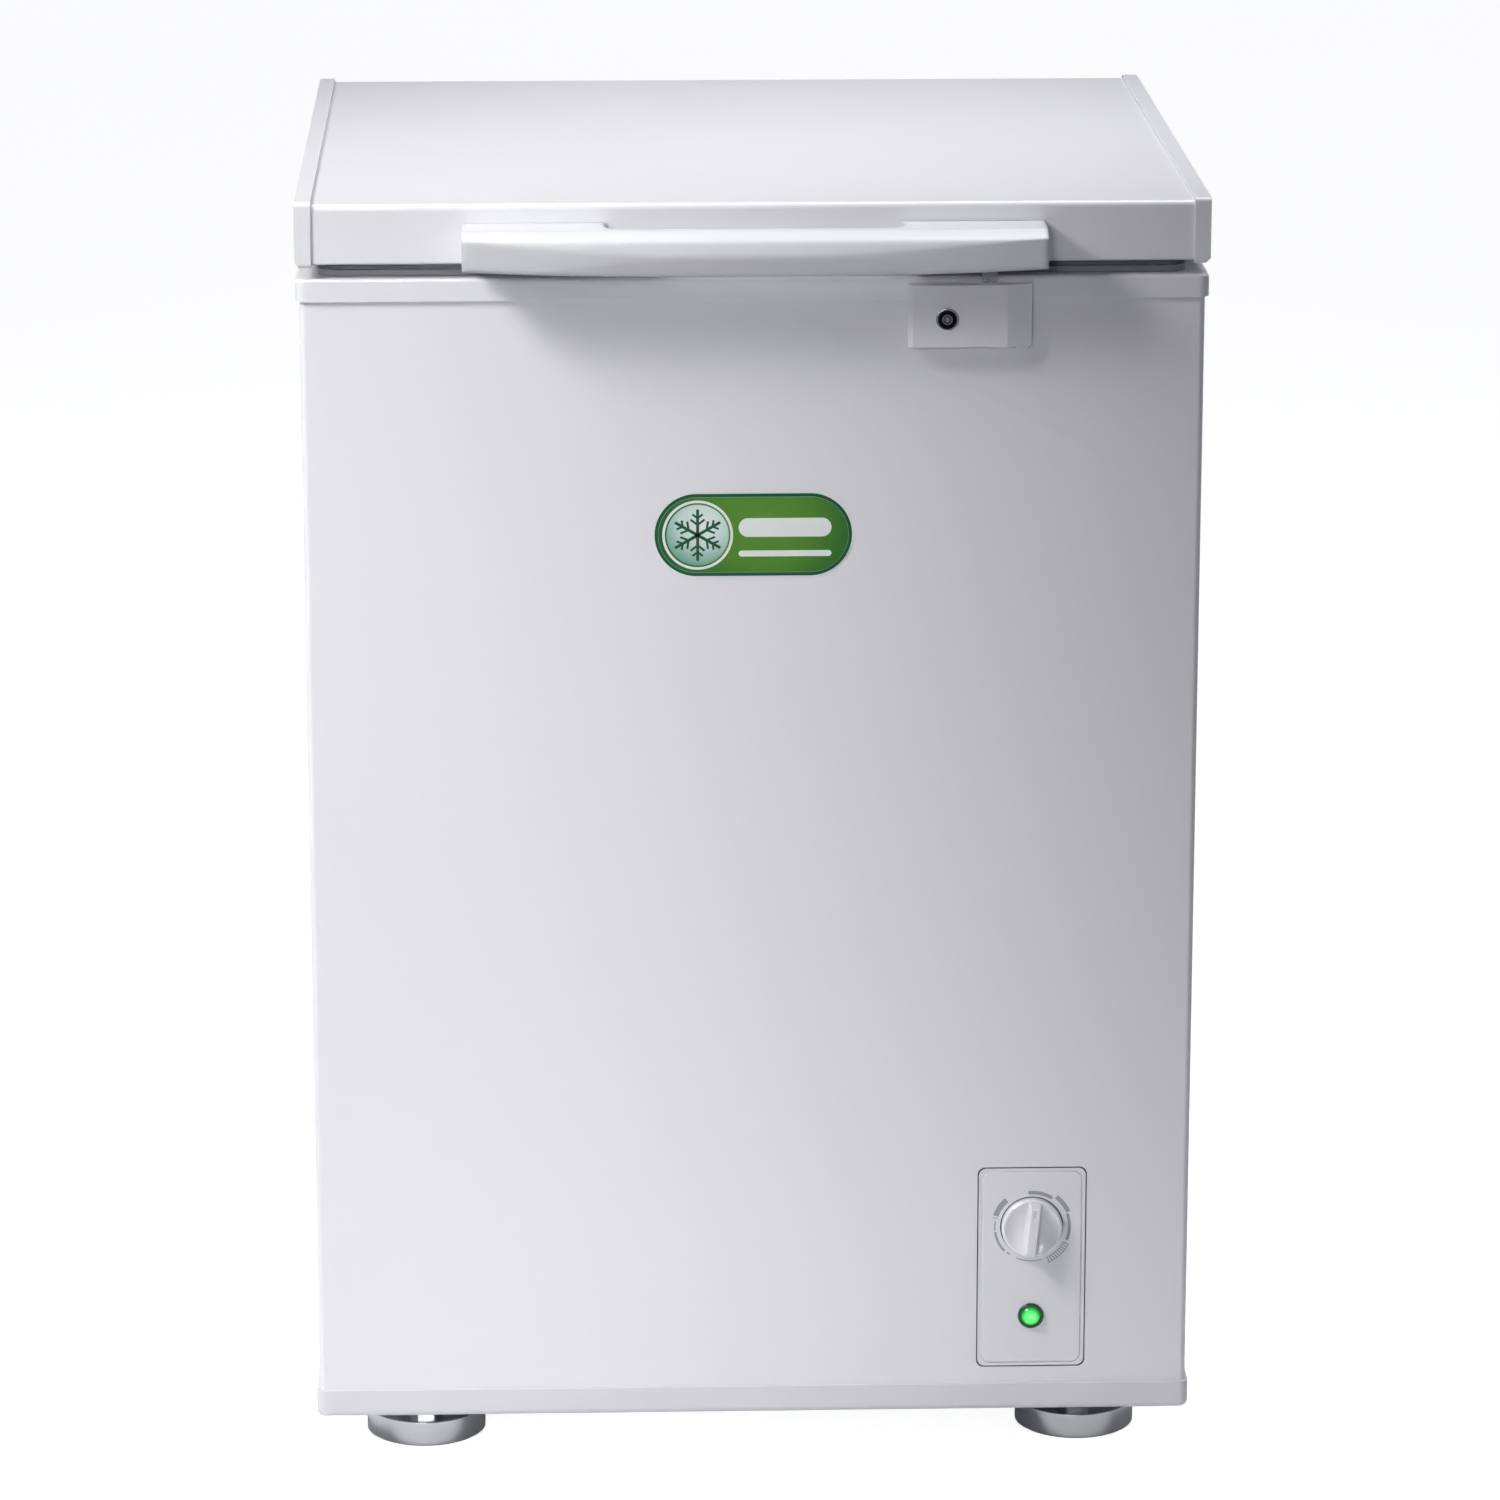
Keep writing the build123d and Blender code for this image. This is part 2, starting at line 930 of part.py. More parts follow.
for side_name, side in (("left", -1), ("right", 1)):
    with BuildPart() as lid_end_cap:
        outer_x, inner_x = side * lid_half, side * cap_inner_x
        block(
            min(outer_x, inner_x),
            max(outer_x, inner_x),
            lid_front,
            back,
            cap_bottom,
            lid_top,
        )
        outer_edges = lid_end_cap.edges().filter_by(Axis.Y).group_by(Axis.X)
        outer_edges = outer_edges[-1 if side > 0 else 0].sort_by(Axis.Z)
        chamfer(outer_edges[0], cap_chamfer)
        fillet(lid_end_cap.edges().filter_by(Axis.X), 3.0)
        add(lid_core.part, mode=Mode.SUBTRACT)
    save(lid_end_cap, f"lid_end_cap_{side_name}")

# ---------------------------------------------------------------- handle

with BuildPart() as lid_handle:
    end = handle_length / 2
    low = handle_bottom - handle_belly
    nose = lid_front - handle_reach
    with BuildSketch(Plane.YZ.offset(-end)) as profile:
        with BuildLine():
            Polyline(
                (panel_face, handle_top),
                (nose + 16.0, handle_top),
                (nose + 5.0, handle_top - 0.22 * handle_height),
                (nose, handle_top - 0.6 * handle_height),
                (nose + 4.5, low),
                (panel_face, low),
                close=True,
            )
        make_face()
        fillet(profile.vertices().sort_by(Axis.Y)[:4], 4.0)
    extrude(profile.sketch, amount=handle_length)
    # bowed forward in plan
    with BuildSketch(Plane.XY.offset(low)) as plan:
        with BuildLine():
            Line((-end, panel_face), (-end, lid_front - handle_end_reach))
            ThreePointArc(
                (-end, lid_front - handle_end_reach),
                (0, nose),
                (end, lid_front - handle_end_reach),
            )
            Line((end, lid_front - handle_end_reach), (end, panel_face))
            Line((end, panel_face), (-end, panel_face))
        make_face()
    extrude(plan.sketch, amount=handle_top - low, mode=Mode.INTERSECT)
    # bowed downward from the front
    with BuildSketch(Plane.XZ.offset(-panel_face)) as elevation:
        with BuildLine():
            Line((-end, handle_top), (end, handle_top))
            Line((end, handle_top), (end, handle_bottom))
            ThreePointArc((end, handle_bottom), (0, low), (-end, handle_bottom))
            Line((-end, handle_bottom), (-end, handle_top))
        make_face()
    extrude(elevation.sketch, amount=2 * handle_reach, mode=Mode.INTERSECT)
    block(
        -grip_opening_length / 2,
        grip_opening_length / 2,
        lid_front - grip_opening_reach,
        panel_face + 20,
        handle_bottom - 2 * handle_belly,
        handle_top,
        corner=10.0,
        mode=Mode.SUBTRACT,
    )
    pocket_inner = grip_opening_length / 2 + handle_wall
    pocket_outer = handle_length / 2 - handle_wall
    for side in (-1, 1):
        block(
            min(side * pocket_inner, side * pocket_outer),
            max(side * pocket_inner, side * pocket_outer),
            lid_front - handle_end_reach + 8.0,
            panel_face - handle_wall,
            handle_bottom - 2 * handle_belly,
            handle_top - handle_wall,
            corner=3.0,
            mode=Mode.SUBTRACT,
        )
    for x, z in handle_screw_places:
        rod_y(x, z, 4.5, panel_face - handle_screw_reach - 2, panel_face)
    for x, z in handle_screw_places:
        rod_y(
            x,
            z,
            small_screw_radius,
            panel_face - handle_screw_reach,
            panel_face,
            mode=Mode.SUBTRACT,
        )
    block(
        catch_left - 0.5,
        catch_left + catch_width + 0.5,
        catch_front - 0.5,
        panel_face,
        handle_bottom - 2 * handle_belly,
        handle_top - handle_wall,
        mode=Mode.SUBTRACT,
    )
save(lid_handle, "lid_handle")

with BuildPart() as handle_screws:
    for x, z in handle_screw_places:
        rod_y(
            x,
            z,
            small_screw_radius,
            panel_face - handle_screw_reach,
            panel_face + lid_sheet,
        )
        rod_y(
            x,
            z,
            small_screw_head,
            panel_face + lid_sheet,
            panel_face + lid_sheet + small_screw_thick,
        )
save(handle_screws, "handle_screws")

with BuildPart() as lock_catch:
    catch_bottom = lock_bottom + 6.0
    catch_foot_top = lock_cylinder_z - cam_width / 2 - 2.0
    block(
        catch_left,
        catch_left + catch_width,
        catch_front,
        panel_face,
        catch_bottom,
        handle_top - handle_wall - 0.5,
    )
    block(
        catch_left - catch_foot,
        catch_left,
        catch_front,
        panel_face,
        catch_bottom,
        catch_foot_top,
    )
save(lock_catch, "lock_catch")

# ---------------------------------------------------------------- lock on the cabinet

with BuildPart() as lock_housing:
    block(
        lock_left,
        lock_right,
        lock_front,
        cabinet_front,
        lock_bottom,
        lock_top,
    )
    with BuildSketch(Plane.XY.offset(lock_bottom)) as slope:
        with BuildLine():
            Polyline(
                (lock_right - lock_slope_width, lock_front),
                (lock_right, lock_front),
                (lock_right, lock_front + 6.0),
                close=True,
            )
        make_face()
    extrude(slope.sketch, amount=lock_height, mode=Mode.SUBTRACT)
    left_front_edge = (
        lock_housing.edges().filter_by(Axis.Z).group_by(Axis.Y)[0].sort_by(Axis.X)[0]
    )
    chamfer(left_front_edge, 3.0)
    with BuildSketch(Plane.XY.offset(lock_bottom - 2.5)) as lip:
        with Locations((lock_right - 6.5, (lock_front + 6.0 + cabinet_front) / 2)):
            RectangleRounded(9.0, cabinet_front - lock_front - 6.0, 1.0)
    extrude(lip.sketch, amount=2.5)
    cavity_left = lock_left + lock_wall
    cavity_right = lock_right - lock_slope_width - 2.0
    block(
        cavity_left,
        cavity_right,
        lock_front + lock_wall,
        cabinet_front,
        lock_bottom + lock_wall,
        lock_top - lock_wall,
        mode=Mode.SUBTRACT,
    )
    # clear of the rim's front lip
    block(
        lock_left,
        lock_right,
        rim_front,
        cabinet_front,
        rim_lip_bottom,
        lock_top,
        mode=Mode.SUBTRACT,
    )
    # slot in the top for the catch
    block(
        catch_left - catch_foot - 2.0,
        catch_left + catch_width + 2.0,
        catch_front - 2.0,
        rim_front,
        lock_top - lock_wall,
        lock_top,
        mode=Mode.SUBTRACT,
    )
    rod_y(
        lock_cylinder_x,
        lock_cylinder_z,
        lock_cylinder_radius + running_clearance,
        lock_front,
        lock_front + lock_wall,
        mode=Mode.SUBTRACT,
    )
save(lock_housing, "lock_housing")

with BuildPart() as lock_bezel:
    rod_y(
        lock_cylinder_x,
        lock_cylinder_z,
        lock_bezel_radius,
        lock_front - 1.2,
        lock_front,
    )
    fillet(lock_bezel.faces().sort_by(Axis.Y)[0].edges(), 0.8)
    rod_y(
        lock_cylinder_x,
        lock_cylinder_z,
        lock_cylinder_radius + running_clearance,
        lock_front - 1.2,
        lock_front,
        mode=Mode.SUBTRACT,
    )
save(lock_bezel, "lock_bezel")

with BuildPart() as lock_cylinder:
    rod_y(
        lock_cylinder_x,
        lock_cylinder_z,
        lock_cylinder_radius,
        lock_front - 0.8,
        catch_front,
    )
    # ring-shaped keyway round a centre post
    rod_y(
        lock_cylinder_x,
        lock_cylinder_z,
        4.2,
        lock_front - 0.8,
        lock_front + 5.0,
        mode=Mode.SUBTRACT,
    )
    rod_y(
        lock_cylinder_x,
        lock_cylinder_z,
        2.0,
        lock_front - 0.4,
        lock_front + 5.0,
    )
    # cam on its inner end, pointing up when unlocked
    with BuildSketch(Plane.XZ.offset(-(catch_front + catch_thickness))) as cam:
        with Locations((lock_cylinder_x, lock_cylinder_z + cam_length / 2 - 2.5)):
            RectangleRounded(cam_width, cam_length + 5.0, 2.0)
        with Locations((lock_cylinder_x, lock_cylinder_z)):
            Circle(5.0)
    extrude(cam.sketch, amount=catch_thickness)
save(lock_cylinder, "lock_cylinder")

# ---------------------------------------------------------------- control panel

with BuildPart() as control_panel:
    with BuildSketch(Plane.XZ.offset(-plate_back)) as plate:
        with Locations((panel_centre_x, panel_centre_z)):
            RectangleRounded(panel_width, panel_height, panel_corner)
    extrude(plate.sketch, amount=panel_plate)
    fillet(control_panel.faces().sort_by(Axis.Y)[0].edges(), 0.6)
    block(
        panel_centre_x - panel_width / 2 - 2.7,
        panel_centre_x + panel_width / 2 + 2.7,
        foam_front,
        plate_back,
        panel_centre_z - panel_height / 2 - 2.7,
        panel_centre_z + panel_height / 2 + 2.7,
    )
    box_half_x = panel_width / 2 - 1.3
    box_half_z = panel_height / 2 - 1.3
    block(
        panel_centre_x - box_half_x,
        panel_centre_x + box_half_x,
        foam_front,
        plate_back + panel_box_depth,
        panel_centre_z - box_half_z,
        panel_centre_z + box_half_z,
    )
    block(
        panel_centre_x - box_half_x + panel_box_wall,
        panel_centre_x + box_half_x - panel_box_wall,
        plate_back,
        plate_back + panel_box_depth,
        panel_centre_z - box_half_z + panel_box_wall,
        panel_centre_z + box_half_z - panel_box_wall,
        mode=Mode.SUBTRACT,
    )
    rod_y(
        panel_centre_x,
        knob_centre_z,
        knob_well_radius,
        plate_front,
        plate_front + knob_well_depth,
        mode=Mode.SUBTRACT,
    )
    rod_y(
        panel_centre_x,
        knob_centre_z,
        5.2,
        plate_front,
        plate_back,
        mode=Mode.SUBTRACT,
    )
    rod_y(
        panel_centre_x,
        lamp_centre_z,
        lamp_radius + running_clearance,
        plate_front,
        plate_back,
        mode=Mode.SUBTRACT,
    )
save(control_panel, "control_panel")

with BuildPart() as thermostat_body:
    block(
        panel_centre_x - thermostat_width / 2,
        panel_centre_x + thermostat_width / 2,
        plate_back,
        plate_back + thermostat_depth,
        knob_centre_z - thermostat_height / 2,
        knob_centre_z + thermostat_height / 2,
    )
    fillet(thermostat_body.edges().filter_by(Axis.Y), 3.0)
    rod_y(panel_centre_x, knob_centre_z, 5.0, plate_front + knob_well_depth, plate_back)
    rod_y(
        panel_centre_x,
        knob_centre_z,
        shaft_radius + running_clearance,
        plate_front + knob_well_depth,
        plate_back + 18.0,
        mode=Mode.SUBTRACT,
    )
save(thermostat_body, "thermostat_body")

knob_back = plate_front + knob_well_depth - 0.4
with BuildPart() as thermostat_shaft:
    rod_y(panel_centre_x, knob_centre_z, shaft_radius, knob_back - 4.0, plate_back + 17.5)
save(thermostat_shaft, "thermostat_shaft")

with BuildPart() as thermostat_knob:
    rod_y(panel_centre_x, knob_centre_z, knob_radius, knob_back - knob_skirt, knob_back)
    chamfer(thermostat_knob.faces().sort_by(Axis.Y)[0].edges(), 1.2)
    # dished face on each side of the blade
    with BuildSketch(Plane.YZ.offset(panel_centre_x), mode=Mode.PRIVATE) as dish:
        with BuildLine():
            dish_front = knob_back - knob_skirt
            rim_z = knob_centre_z + knob_radius - 2.2
            Line((dish_front - 1, knob_centre_z), (dish_front - 1, rim_z))
            Line((dish_front - 1, rim_z), (dish_front, rim_z))
            ThreePointArc(
                (dish_front, rim_z),
                (dish_front + 2.6, (rim_z + knob_centre_z) / 2 + 1.0),
                (dish_front + 3.4, knob_centre_z),
            )
            Line((dish_front + 3.4, knob_centre_z), (dish_front - 1, knob_centre_z))
        make_face()
    revolve(
        dish.sketch,
        axis=Axis((panel_centre_x, 0, knob_centre_z), (0, 1, 0)),
        mode=Mode.SUBTRACT,
    )
    # finger blade across the knob, wider at its foot
    blade_plane = Plane(
        origin=(panel_centre_x, knob_back - 2.0, knob_centre_z),
        x_dir=Vector(1, 0, 0).rotate(Axis.Y, knob_rest_turn),
        z_dir=(0, -1, 0),
    )
    with BuildSketch(blade_plane, mode=Mode.PRIVATE) as blade:
        RectangleRounded(knob_blade_width, 2 * knob_radius - 3.4, 2.0)
    extrude(blade.sketch, amount=knob_skirt + knob_blade_height - 2.0, taper=6)
    blade_face = thermostat_knob.faces().sort_by(Axis.Y)[0]
    fillet(blade_face.edges(), 1.0)
    # pointer dimple near the blade's top end
    dimple_plane = blade_plane.offset(knob_skirt + knob_blade_height - 2.0)
    with BuildSketch(dimple_plane, mode=Mode.PRIVATE) as dimple:
        with Locations((0, knob_radius - 8.0)):
            SlotOverall(6.5, 2.8, rotation=90)
    extrude(dimple.sketch, amount=-0.8, mode=Mode.SUBTRACT)
    rod_y(
        panel_centre_x,
        knob_centre_z,
        shaft_radius,
        knob_back - 4.0,
        knob_back,
        mode=Mode.SUBTRACT,
    )
save(thermostat_knob, "thermostat_knob")

with BuildPart() as pilot_lamp_lens:
    rod_y(panel_centre_x, lamp_centre_z, lamp_radius, plate_front - 4.0, plate_back + 10.0)
    fillet(pilot_lamp_lens.faces().sort_by(Axis.Y)[0].edges(), 3.6)
save(pilot_lamp_lens, "pilot_lamp_lens")

with BuildPart() as pilot_lamp_bezel:
    rod_y(panel_centre_x, lamp_centre_z, lamp_bezel_radius, plate_front - 1.8, plate_front)
    fillet(pilot_lamp_bezel.faces().sort_by(Axis.Y)[0].edges(), 1.0)
    rod_y(
        panel_centre_x,
        lamp_centre_z,
        lamp_radius + running_clearance,
        plate_front - 1.8,
        plate_front,
        mode=Mode.SUBTRACT,
    )
save(pilot_lamp_bezel, "pilot_lamp_bezel")

with BuildPart() as front_label:
    with BuildSketch(Plane.XZ.offset(-cabinet_front)) as pill:
        with Locations((0, label_centre_z)):
            SlotOverall(label_width, label_height)
    extrude(pill.sketch, amount=label_thickness)
save(front_label, "front_label")

# ---------------------------------------------------------------- hinges

knuckle_inner = hinge_width / 2 - hinge_end_knuckle

for side_name, side_x in hinge_sides:
    with BuildPart() as hinge_cabinet_leaf:
        for x0, x1 in (
            (side_x - hinge_width / 2, side_x - knuckle_inner - hinge_knuckle_gap),
            (side_x + knuckle_inner + hinge_knuckle_gap, side_x + hinge_width / 2),
        ):
            rod_x(hinge_y, hinge_z, knuckle_radius, x0, x1)
            block(
                x0,
                x1,
                back,
                back + cabinet_leaf_sheet,
                hinge_z - knuckle_radius - knuckle_clearance,
                hinge_z,
            )
        block(
            side_x - hinge_width / 2,
            side_x + hinge_width / 2,
            back,
            back + cabinet_leaf_sheet,
            hinge_z - knuckle_radius - knuckle_clearance - cabinet_leaf_height,
            hinge_z - knuckle_radius - knuckle_clearance,
        )
        rod_x(
            hinge_y,
            hinge_z,
            pin_radius,
            side_x - hinge_width / 2,
            side_x + hinge_width / 2,
            mode=Mode.SUBTRACT,
        )
        for x, z in cabinet_screw_places:
            rod_y(
                x,
                z,
                screw_radius + screw_clearance,
                back,
                back + cabinet_leaf_sheet,
                mode=Mode.SUBTRACT,
            )
    save(hinge_cabinet_leaf, f"hinge_cabinet_leaf_{side_name}")

    with BuildPart() as hinge_lid_leaf:
        rod_x(hinge_y, hinge_z, knuckle_radius, side_x - knuckle_inner, side_x + knuckle_inner)
        block(
            side_x - knuckle_inner,
            side_x + knuckle_inner,
            panel_rear,
            panel_rear + lid_leaf_sheet,
            hinge_z,
            hinge_z + knuckle_radius + knuckle_clearance,
        )
        block(
            side_x - hinge_width / 2,
            side_x + hinge_width / 2,
            panel_rear,
            panel_rear + lid_leaf_sheet,
            hinge_z + knuckle_radius + knuckle_clearance,
            hinge_z + knuckle_radius + knuckle_clearance + lid_leaf_height,
        )
        rod_x(
            hinge_y,
            hinge_z,
            pin_radius + running_clearance,
            side_x - hinge_width / 2,
            side_x + hinge_width / 2,
            mode=Mode.SUBTRACT,
        )
        for x, z in lid_screw_places:
            rod_y(
                x,
                z,
                screw_radius + screw_clearance,
                panel_rear,
                panel_rear + lid_leaf_sheet,
                mode=Mode.SUBTRACT,
            )
    save(hinge_lid_leaf, f"hinge_lid_leaf_{side_name}")

with BuildPart() as hinge_pins:
    for _, side_x in hinge_sides:
        rod_x(
            hinge_y,
            hinge_z,
            pin_radius,
            side_x - hinge_width / 2 - 1.0,
            side_x + hinge_width / 2,
        )
        rod_x(
            hinge_y,
            hinge_z,
            4.6,
            side_x + hinge_width / 2,
            side_x + hinge_width / 2 + 2.0,
        )
save(hinge_pins, "hinge_pins")

with BuildPart() as hinge_cabinet_screws:
    for x, z in cabinet_screw_places:
        head_back = back + cabinet_leaf_sheet
        rod_y(x, z, screw_radius, head_back - screw_shank, head_back)
        rod_y(x, z, screw_head_radius, head_back, head_back + screw_head)
save(hinge_cabinet_screws, "hinge_cabinet_screws")

with BuildPart() as hinge_lid_screws:
    for x, z in lid_screw_places:
        head_back = panel_rear + lid_leaf_sheet
        rod_y(x, z, screw_radius, head_back - screw_shank, head_back)
        rod_y(x, z, screw_head_radius, head_back, head_back + screw_head)
save(hinge_lid_screws, "hinge_lid_screws")

# ---------------------------------------------------------------- feet


def foot_pad(x, y):
    """Adds the rubber pad that fills a foot's underside."""
    rod_z(x, y, foot_radius - foot_cup_wall, 0.0, foot_web_low)


def foot_cup(x, y, collar_top):
    """Adds a foot: pressed cup with a sunk web, spanner collar and threaded stud."""
    inside = foot_radius - foot_cup_wall
    with BuildPart(mode=Mode.PRIVATE) as cup:
        rod_z(x, y, foot_radius, foot_cup_low, foot_cup_top)
        fillet(cup.edges().group_by(Axis.Z)[-1], 0.7)
        rod_z(x, y, inside, foot_web_low + foot_web, foot_cup_top, mode=Mode.SUBTRACT)
        rod_z(x, y, inside, foot_cup_low, foot_web_low, mode=Mode.SUBTRACT)
        with BuildSketch(Plane.XY.offset(foot_web_low + foot_web)) as collar:
            with Locations((x, y)):
                RegularPolygon(collar_across / 2, 6, major_radius=False)
        extrude(collar.sketch, amount=collar_top - foot_web_low - foot_web)
        rod_z(x, y, stud_radius, foot_web_low, base_plate_top + stud_rise)
    add(cup.part)


for side_name, side in (("left", -1), ("right", 1)):
    with BuildPart() as front_foot_cup:
        foot_cup(side * foot_x, foot_front_y, base_plate_bottom - foot_stop_gap)
    save(front_foot_cup, f"front_foot_cup_{side_name}")
    with BuildPart() as front_foot_pad:
        foot_pad(side * foot_x, foot_front_y)
    save(front_foot_pad, f"front_foot_pad_{side_name}")

with BuildPart() as rear_foot_cups:
    for side in (-1, 1):
        foot_cup(side * foot_x, foot_back_y, base_plate_bottom)
save(rear_foot_cups, "rear_foot_cups")

with BuildPart() as rear_foot_pads:
    for side in (-1, 1):
        foot_pad(side * foot_x, foot_back_y)
save(rear_foot_pads, "rear_foot_pads")

with BuildPart() as foot_nuts:
    for x, y in foot_places:
        with BuildSketch(Plane.XY.offset(base_plate_top)) as nut:
            with Locations((x, y)):
                RegularPolygon(nut_across / 2, 6, major_radius=False)
                Circle(stud_radius + running_clearance, mode=Mode.SUBTRACT)
        extrude(nut.sketch, amount=nut_height)
save(foot_nuts, "foot_nuts")

# ---------------------------------------------------------------- basket

frame_left = -skirt_half + rim_skirt_wall + basket_rest_gap
frame_right = frame_left + basket_width
frame_front = skirt_front + rim_skirt_wall + basket_side_gap
frame_back = skirt_back - rim_skirt_wall - basket_side_gap
frame_z = ledge_top - 8.0
rail_z = ledge_top + basket_wire + 0.1
grid_bottom = frame_z - basket_depth_below_rim

with BuildPart() as basket_frame:
    ring = [
        (frame_left, frame_front, frame_z),
        (frame_right, frame_front, frame_z),
        (frame_right, frame_back, frame_z),
        (frame_left, frame_back, frame_z),
    ]
    with BuildLine() as ring_line:
        FilletPolyline(*ring, radius=12.0, close=True)
    ring_wire = ring_line.wire()
    with BuildSketch(Plane(origin=ring_wire @ 0.5, z_dir=ring_wire % 0.5)) as section:
        Circle(basket_wire)
    sweep(section.sketch, path=ring_wire)
    for ring_y, rail_y in (
        (frame_front, ledge_front + rim_top_wall + 5.0),
        (frame_back, ledge_back - rim_top_wall - 5.0),
    ):
        tube(
            [
                (frame_left + 25.0, ring_y, frame_z),
                (frame_left + 25.0, ring_y, rail_z),
                (frame_left + 25.0, rail_y, rail_z),
                (frame_right - 25.0, rail_y, rail_z),
                (frame_right - 25.0, ring_y, rail_z),
                (frame_right - 25.0, ring_y, frame_z),
            ],
            3.5,
            basket_wire - 0.2,
        )
save(basket_frame, "basket_frame")

grid_top = frame_z - basket_wire
floor_z = grid_bottom
side_bottom = floor_z + grid_rail
grid_corner = 14.0


side_rails = (
    side_bottom + grid_rail,
    (side_bottom + grid_top) / 2,
    grid_top - 22.0,
)
with BuildPart() as basket_grids:
    for y in (frame_front, frame_back):
        with BuildPart(mode=Mode.PRIVATE) as grid:
            for x in spread(frame_left + grid_corner, frame_right - grid_corner, grid_pitch):
                rod_z(x, y, grid_upright, side_bottom, grid_top)
            for z in side_rails:
                rod_x(y, z, grid_rail, frame_left + 3.0, frame_right - 3.0)
        add(grid.part)
    for x in (frame_left, frame_right):
        with BuildPart(mode=Mode.PRIVATE) as grid:
            for y in spread(frame_front + grid_corner, frame_back - grid_corner, grid_pitch):
                rod_z(x, y, grid_upright, side_bottom, grid_top)
            for z in side_rails:
                rod_y(x, z, grid_rail, frame_front + 3.0, frame_back - 3.0)
        add(grid.part)
    with BuildPart(mode=Mode.PRIVATE) as grid:
        for y in spread(frame_front, frame_back, grid_pitch):
            rod_x(y, floor_z, grid_upright, frame_left - 1.0, frame_right + 1.0)
        for x in spread(frame_left, frame_right, 2 * grid_pitch):
            rod_y(x, floor_z, grid_rail, frame_front - 1.0, frame_back + 1.0)
    add(grid.part)
save(basket_grids, "basket_grids")

# ---------------------------------------------------------------- cooling circuit

condenser_x = foam_half - coil_gap - condenser_radius
condenser_front = foam_front + coil_gap + condenser_radius
condenser_rear = back_inside - 30.0
condenser_low = hump_top + 20.0
condenser_high = foam_top - 50.0
condenser_points = []
for run in range(condenser_runs):
    z = condenser_low + (condenser_high - condenser_low) * run / (condenser_runs - 1)
    corners = [
        (condenser_x, condenser_rear, z),
        (condenser_x, condenser_front, z),
        (-condenser_x, condenser_front, z),
        (-condenser_x, condenser_rear, z),
    ]
    condenser_points += corners if run % 2 == 0 else corners[::-1]
with BuildPart() as condenser_coil:
    tube(condenser_points, coil_bend, condenser_radius)
save(condenser_coil, "condenser_coil")

evaporator_offset = liner_sheet + coil_gap + evaporator_radius
evaporator_left = -tub_half - evaporator_offset
evaporator_front = tub_front - evaporator_offset
evaporator_back = tub_back + evaporator_offset
wide_levels = spread(ledge_bottom - 45.0, hump_top + 40.0, evaporator_pitch)
narrow_levels = spread(hump_top - 40.0, tub_floor + 45.0, evaporator_pitch)
evaporator_points = []
for levels, side in ((wide_levels, tub_half), (narrow_levels, hump_left)):
    for z in levels:
        evaporator_points += [
            (evaporator_left, evaporator_front, z),
            (side + evaporator_offset, evaporator_front, z),
            (side + evaporator_offset, evaporator_back, z),
            (evaporator_left, evaporator_back, z),
        ]
with BuildPart() as evaporator_coil:
    tube(evaporator_points, coil_bend, evaporator_radius)
save(evaporator_coil, "evaporator_coil")

with BuildPart() as compressor:
    with BuildSketch(Plane.XY.offset(compressor_bottom)) as pot:
        with Locations((compressor_x, compressor_y)):
            Ellipse(compressor_rx, compressor_ry)
    extrude(pot.sketch, amount=compressor_height)
    fillet(compressor.faces().sort_by(Axis.Z)[-1].edges(), 30.0)
    fillet(compressor.faces().sort_by(Axis.Z)[0].edges(), 12.0)
    with BuildSketch(Plane.XY.offset(compressor_bottom + 80.0)) as seam:
        with Locations((compressor_x, compressor_y)):
            Ellipse(compressor_rx + 2.5, compressor_ry + 2.5)
    extrude(seam.sketch, amount=4.0)
    rod_y(suction_x, suction_z, 7.0, compressor_y, compressor_stub_y)
    rod_y(discharge_x, discharge_z, 6.0, compressor_y, compressor_stub_y)
save(compressor, "compressor")

with BuildPart() as compressor_mount:
    block(
        compressor_x - mount_half_x,
        compressor_x + mount_half_x,
        compressor_y - mount_half_y,
        compressor_y + mount_half_y,
        compressor_bottom - mount_plate,
        compressor_bottom,
        corner=12.0,
    )
save(compressor_mount, "compressor_mount")

with BuildPart() as compressor_grommets:
    for x, y in grommet_places:
        rod_z(x, y, grommet_radius, base_plate_top, compressor_bottom - mount_plate)
save(compressor_grommets, "compressor_grommets")

with BuildPart() as starter_box:
    block(
        compressor_x - 24.0,
        compressor_x + 24.0,
        compressor_y - compressor_ry - 30.0,
        compressor_y - compressor_ry - 0.4,
        compressor_bottom + 25.0,
        compressor_bottom + 70.0,
        corner=4.0,
    )
save(starter_box, "starter_box")

tube_back = compressor_stub_y + 26.0
with BuildPart() as suction_line:
    tube(
        [
            (suction_x, compressor_stub_y, suction_z),
            (suction_x, tube_back, suction_z),
            (bay_left, tube_back, suction_z),
        ],
        14.0,
        suction_radius,
    )
save(suction_line, "suction_line")

with BuildPart() as discharge_line:
    tube(
        [
            (discharge_x, compressor_stub_y, discharge_z),
            (discharge_x, tube_back, discharge_z),
            (discharge_x, tube_back, bay_top),
        ],
        14.0,
        discharge_radius,
    )
save(discharge_line, "discharge_line")

drier_x = bay_left + 20.0
drier_y = compressor_y - compressor_ry - 40.0
with BuildPart() as filter_drier:
    rod_z(drier_x, drier_y, 9.5, bay_top - 125.0, bay_top - 35.0)
    fillet(filter_drier.edges(), 4.0)
    rod_z(drier_x, drier_y, 3.0, bay_top - 60.0, bay_top)
    tube(
        [
            (drier_x, drier_y, bay_top - 110.0),
            (drier_x, drier_y, bay_top - 150.0),
            (bay_left, drier_y, bay_top - 150.0),
        ],
        12.0,
        2.0,
    )
save(filter_drier, "filter_drier")

# ---------------------------------------------------------------- covers and inlet

